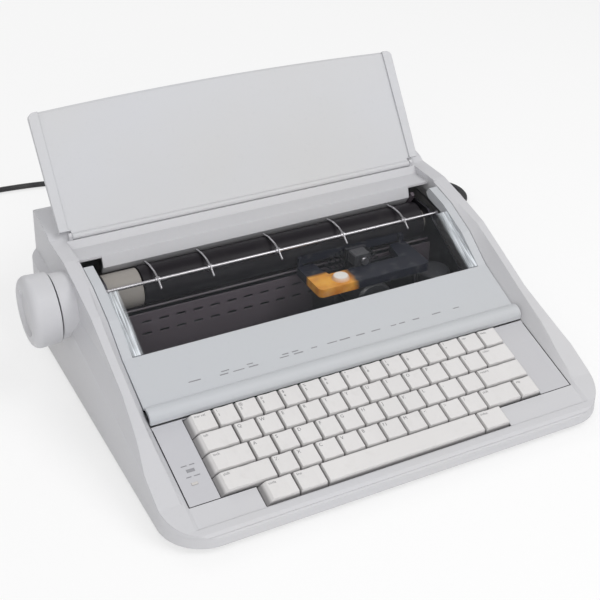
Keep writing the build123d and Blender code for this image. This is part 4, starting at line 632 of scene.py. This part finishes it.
# Key legends: small grey characters pad-printed on the tops, at the upper left of each cap.
print_grey = moulding("print_grey", (0.17, 0.17, 0.18), rough=0.5, grain=0.2, age=0.3)
key_pitch = 0.01905
cap_rise = 0.004
dish_depth = 0.0005
dish_radius = 0.026
print_lift = 0.00005
long_slope, short_slope = 0.006, 0.001
letter_size, pair_size, word_size = 0.0044, 0.0036, 0.0032
margin_left, margin_top, capital_share = 0.0017, 0.0024, 0.72
legends = {
    "margin_key": (0, 0.0, 1.25, ["mar rel"]),
    "number_row_keys": (0, 1.25, 1.0, ["!\n1", "@\n2", "#\n3", "$\n4", "%\n5", "&\n6", "*\n7", "(\n8",
                                       ")\n9", "_\n0", "+\n-", "?\n="]),
    "correction_key": (0, 13.25, 1.0, ["cor"]),
    "backspace_key": (0, 14.25, 1.0, ["back"]),
    "tab_key": (1, 0.0, 1.75, ["tab"]),
    "upper_row_keys": (1, 1.75, 1.0, [*"QWERTYUIOP", ":", ";"]),
    "relocate_key": (1, 13.75, 1.5, ["reloc"]),
    "lock_key": (2, 0.0, 2.0, ["lock"]),
    "home_row_keys": (2, 2.0, 1.0, [*"ASDFGHJKL", ",", "."]),
    "return_key": (2, 13.0, 2.25, ["return"]),
    "left_shift_key": (3, 0.0, 2.5, ["shift"]),
    "lower_row_keys": (3, 2.5, 1.0, [*"ZXCVBNM", "<", ">", "/"]),
    "right_shift_key": (3, 12.5, 1.75, ["shift"]),
    "repeat_key": (3, 14.25, 1.0, ["rep"]),
    "code_key": (4, 1.5, 1.5, ["code"]),
    "line_key": (4, 3.0, 1.25, ["line"]),
    "index_key": (4, 11.75, 1.25, ["index"]),
}
written = []
for key_name, (row, first, width, labels) in legends.items():
    for number, label in enumerate(labels):
        type_size = letter_size if len(label) == 1 else pair_size if "\n" in label else word_size
        text = bpy.data.curves.new("legend", "FONT")
        text.body = label
        text.size = type_size
        text.space_line = 1.15
        text.resolution_u = 2
        letter = bpy.data.objects.new("legend", text)
        bpy.context.scene.collection.objects.link(letter)
        written.append((key_name, row, first + number, width, type_size, letter))
graph = bpy.context.evaluated_depsgraph_get()
printed = {}
for key_name, row, column, width, type_size, letter in written:
    outline = bpy.data.meshes.new_from_object(letter.evaluated_get(graph))
    left_slope = long_slope if 1.2 < width < 4 and column < 3 else short_slope
    left = column * key_pitch + left_slope + margin_left
    baseline = -row * key_pitch - margin_top - capital_share * type_size
    middle = (column + width / 2) * key_pitch + (left_slope - short_slope) / 2
    points, faces = printed.setdefault(key_name, ([], []))
    first_point = len(points)
    for vertex in outline.vertices:
        across_cap = left + vertex.co.x
        up_cap = baseline + vertex.co.y
        dish = min(0.0, (across_cap - middle) ** 2 / (2 * dish_radius) - dish_depth)
        points.append(on_deck(across_cap, up_cap, cap_rise + dish + print_lift))
    faces += [[first_point + index for index in face.vertices] for face in outline.polygons]
    bpy.data.objects.remove(letter)
    bpy.data.meshes.remove(outline)
for key_name, (points, faces) in printed.items():
    legend_mesh = bpy.data.meshes.new(key_name + "_legends")
    legend_mesh.from_pydata(points, [], faces)
    legend_mesh.materials.append(print_grey)
    legend = bpy.data.objects.new(key_name + "_legends", legend_mesh)
    bpy.context.scene.collection.objects.link(legend)
    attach(legend, key_name)


# Printed marks: short grey dashes stand for the small function lettering along the cover's panel,
# and for the two lines of print with a dark bar between them on the left of the keyboard deck.
dash_tree, dash_in, dash_add = new_tree("dashes_in_row", {
    "Count": "Int", "Start": "Vector", "Step": "Vector", "Size": "Vector", "Tilt": "Vector",
    "Least": "Vector", "Most": "Vector", "Seed": "Int", "Finish": "Material",
})
dash_line = dash_add("GeometryNodeMeshLine", {"mode": "OFFSET"}, {
    "Count": dash_in.outputs["Count"], "Start Location": dash_in.outputs["Start"],
    "Offset": dash_in.outputs["Step"],
})
dash_shape = dash_add("GeometryNodeMeshCube", None, {"Size": dash_in.outputs["Size"]})
dash_scale = dash_add("FunctionNodeRandomValue", {"data_type": "FLOAT_VECTOR"}, {
    0: dash_in.outputs["Least"], 1: dash_in.outputs["Most"], "Seed": dash_in.outputs["Seed"],
})
dash_spread = dash_add("GeometryNodeInstanceOnPoints", None, {
    "Points": dash_line.outputs[0], "Instance": dash_shape.outputs[0],
    "Rotation": dash_in.outputs["Tilt"], "Scale": dash_scale.outputs[0],
})
dash_real = dash_add("GeometryNodeRealizeInstances", None, {"Geometry": dash_spread.outputs[0]})
dash_coat = dash_add("GeometryNodeSetMaterial", None, {
    "Geometry": dash_real.outputs[0], "Material": dash_in.outputs["Finish"],
})
dash_add("NodeGroupOutput", None, {"Geometry": dash_coat.outputs[0]})
panel_turn = math.atan2(18.4, 43.5)
panel_foot = (-0.0555, 0.0526)
mark_grey = moulding("mark_grey", (0.30, 0.30, 0.32), rough=0.5, grain=0.2, age=0.3)
panel_groups = [
    (-0.1260, 0.0000, 1, 0.0118, 0.0120), (-0.1010, 0.0130, 3, 0.0104, 0.0100),
    (-0.0990, 0.0220, 2, 0.0132, 0.0070), (-0.0470, 0.0130, 2, 0.0108, 0.0100),
    (-0.0450, 0.0090, 2, 0.0132, 0.0060), (-0.0190, 0.0000, 1, 0.0118, 0.0050),
    (-0.0020, 0.0120, 2, 0.0118, 0.0090), (0.0250, 0.0150, 2, 0.0118, 0.0100),
    (0.0575, 0.0085, 2, 0.0118, 0.0070), (0.0800, 0.0205, 3, 0.0118, 0.0080),
]
for number, (start, step, count, distance, length) in enumerate(panel_groups):
    panel_marks = grown(f"panel_marks_{number}", dash_tree, {
        "Count": count,
        "Start": (
            start,
            panel_foot[0] + distance * math.cos(panel_turn),
            panel_foot[1] + distance * math.sin(panel_turn),
        ),
        "Step": (step, 0.0, 0.0), "Size": (length, 0.0009, 0.0002), "Tilt": (panel_turn, 0.0, 0.0),
        "Least": (0.7, 0.8, 1.0), "Most": (1.1, 1.1, 1.0), "Seed": 7 + number, "Finish": mark_grey,
    })
    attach(panel_marks, "cover")
lamp_lines = [
    (-0.1635, 0.0065, 2, -0.0412, 0.0050, 0.0008), (-0.1600, 0.0000, 1, -0.0462, 0.0070, 0.0026),
    (-0.1635, 0.0065, 2, -0.0516, 0.0050, 0.0008),
]
for number, (start, step, count, reach, length, width) in enumerate(lamp_lines):
    lamp_marks = grown(f"lamp_marks_{number}", dash_tree, {
        "Count": count, "Start": on_deck(start - deck_corner.x, reach), "Step": (step, 0.0, 0.0),
        "Size": (length, width, 0.0002), "Tilt": (deck_turn, 0.0, 0.0),
        "Least": (0.8, 0.9, 1.0), "Most": (1.0, 1.1, 1.0), "Seed": 3 + number, "Finish": mark_grey,
    })
    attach(lamp_marks, "machine_body")


# Joint line: the keyboard deck drops into the case with a narrow shadow gap, and thin black strips
# along its sides and front are painted shade in that gap.
deck_left = -0.1734 - deck_corner.x
deck_right = 0.1734 - deck_corner.x
deck_front = -0.07677
gap_shade_width = 0.0006
gap_shade_height = 0.0004
gap_shade_sink = 0.0001
gap_shade_runs = (
    ((deck_left, deck_front), (deck_left, -0.0030)), ((deck_right, deck_front), (deck_right, -0.0030)),
    ((deck_left, deck_front), (0.0280, deck_front)), ((0.2482, deck_front), (deck_right, deck_front)),
)
gap_shade_form = bmesh.new()
for (x0, y0), (x1, y1) in gap_shade_runs:
    for corner in bmesh.ops.create_cube(gap_shade_form, size=1.0)["verts"]:
        across_deck = (x0 + x1) / 2 + corner.co.x * (abs(x1 - x0) + gap_shade_width)
        up_deck = (y0 + y1) / 2 + corner.co.y * (abs(y1 - y0) + gap_shade_width)
        corner.co = on_deck(across_deck, up_deck, corner.co.z * gap_shade_height - gap_shade_sink)
gap_shade_mesh = bpy.data.meshes.new("deck_gap_shade")
gap_shade_form.to_mesh(gap_shade_mesh)
gap_shade_form.free()
gap_shade_mesh.materials.append(painted_shade_black)
deck_gap_shade = bpy.data.objects.new("deck_gap_shade", gap_shade_mesh)
bpy.context.scene.collection.objects.link(deck_gap_shade)
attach(deck_gap_shade, "machine_body")
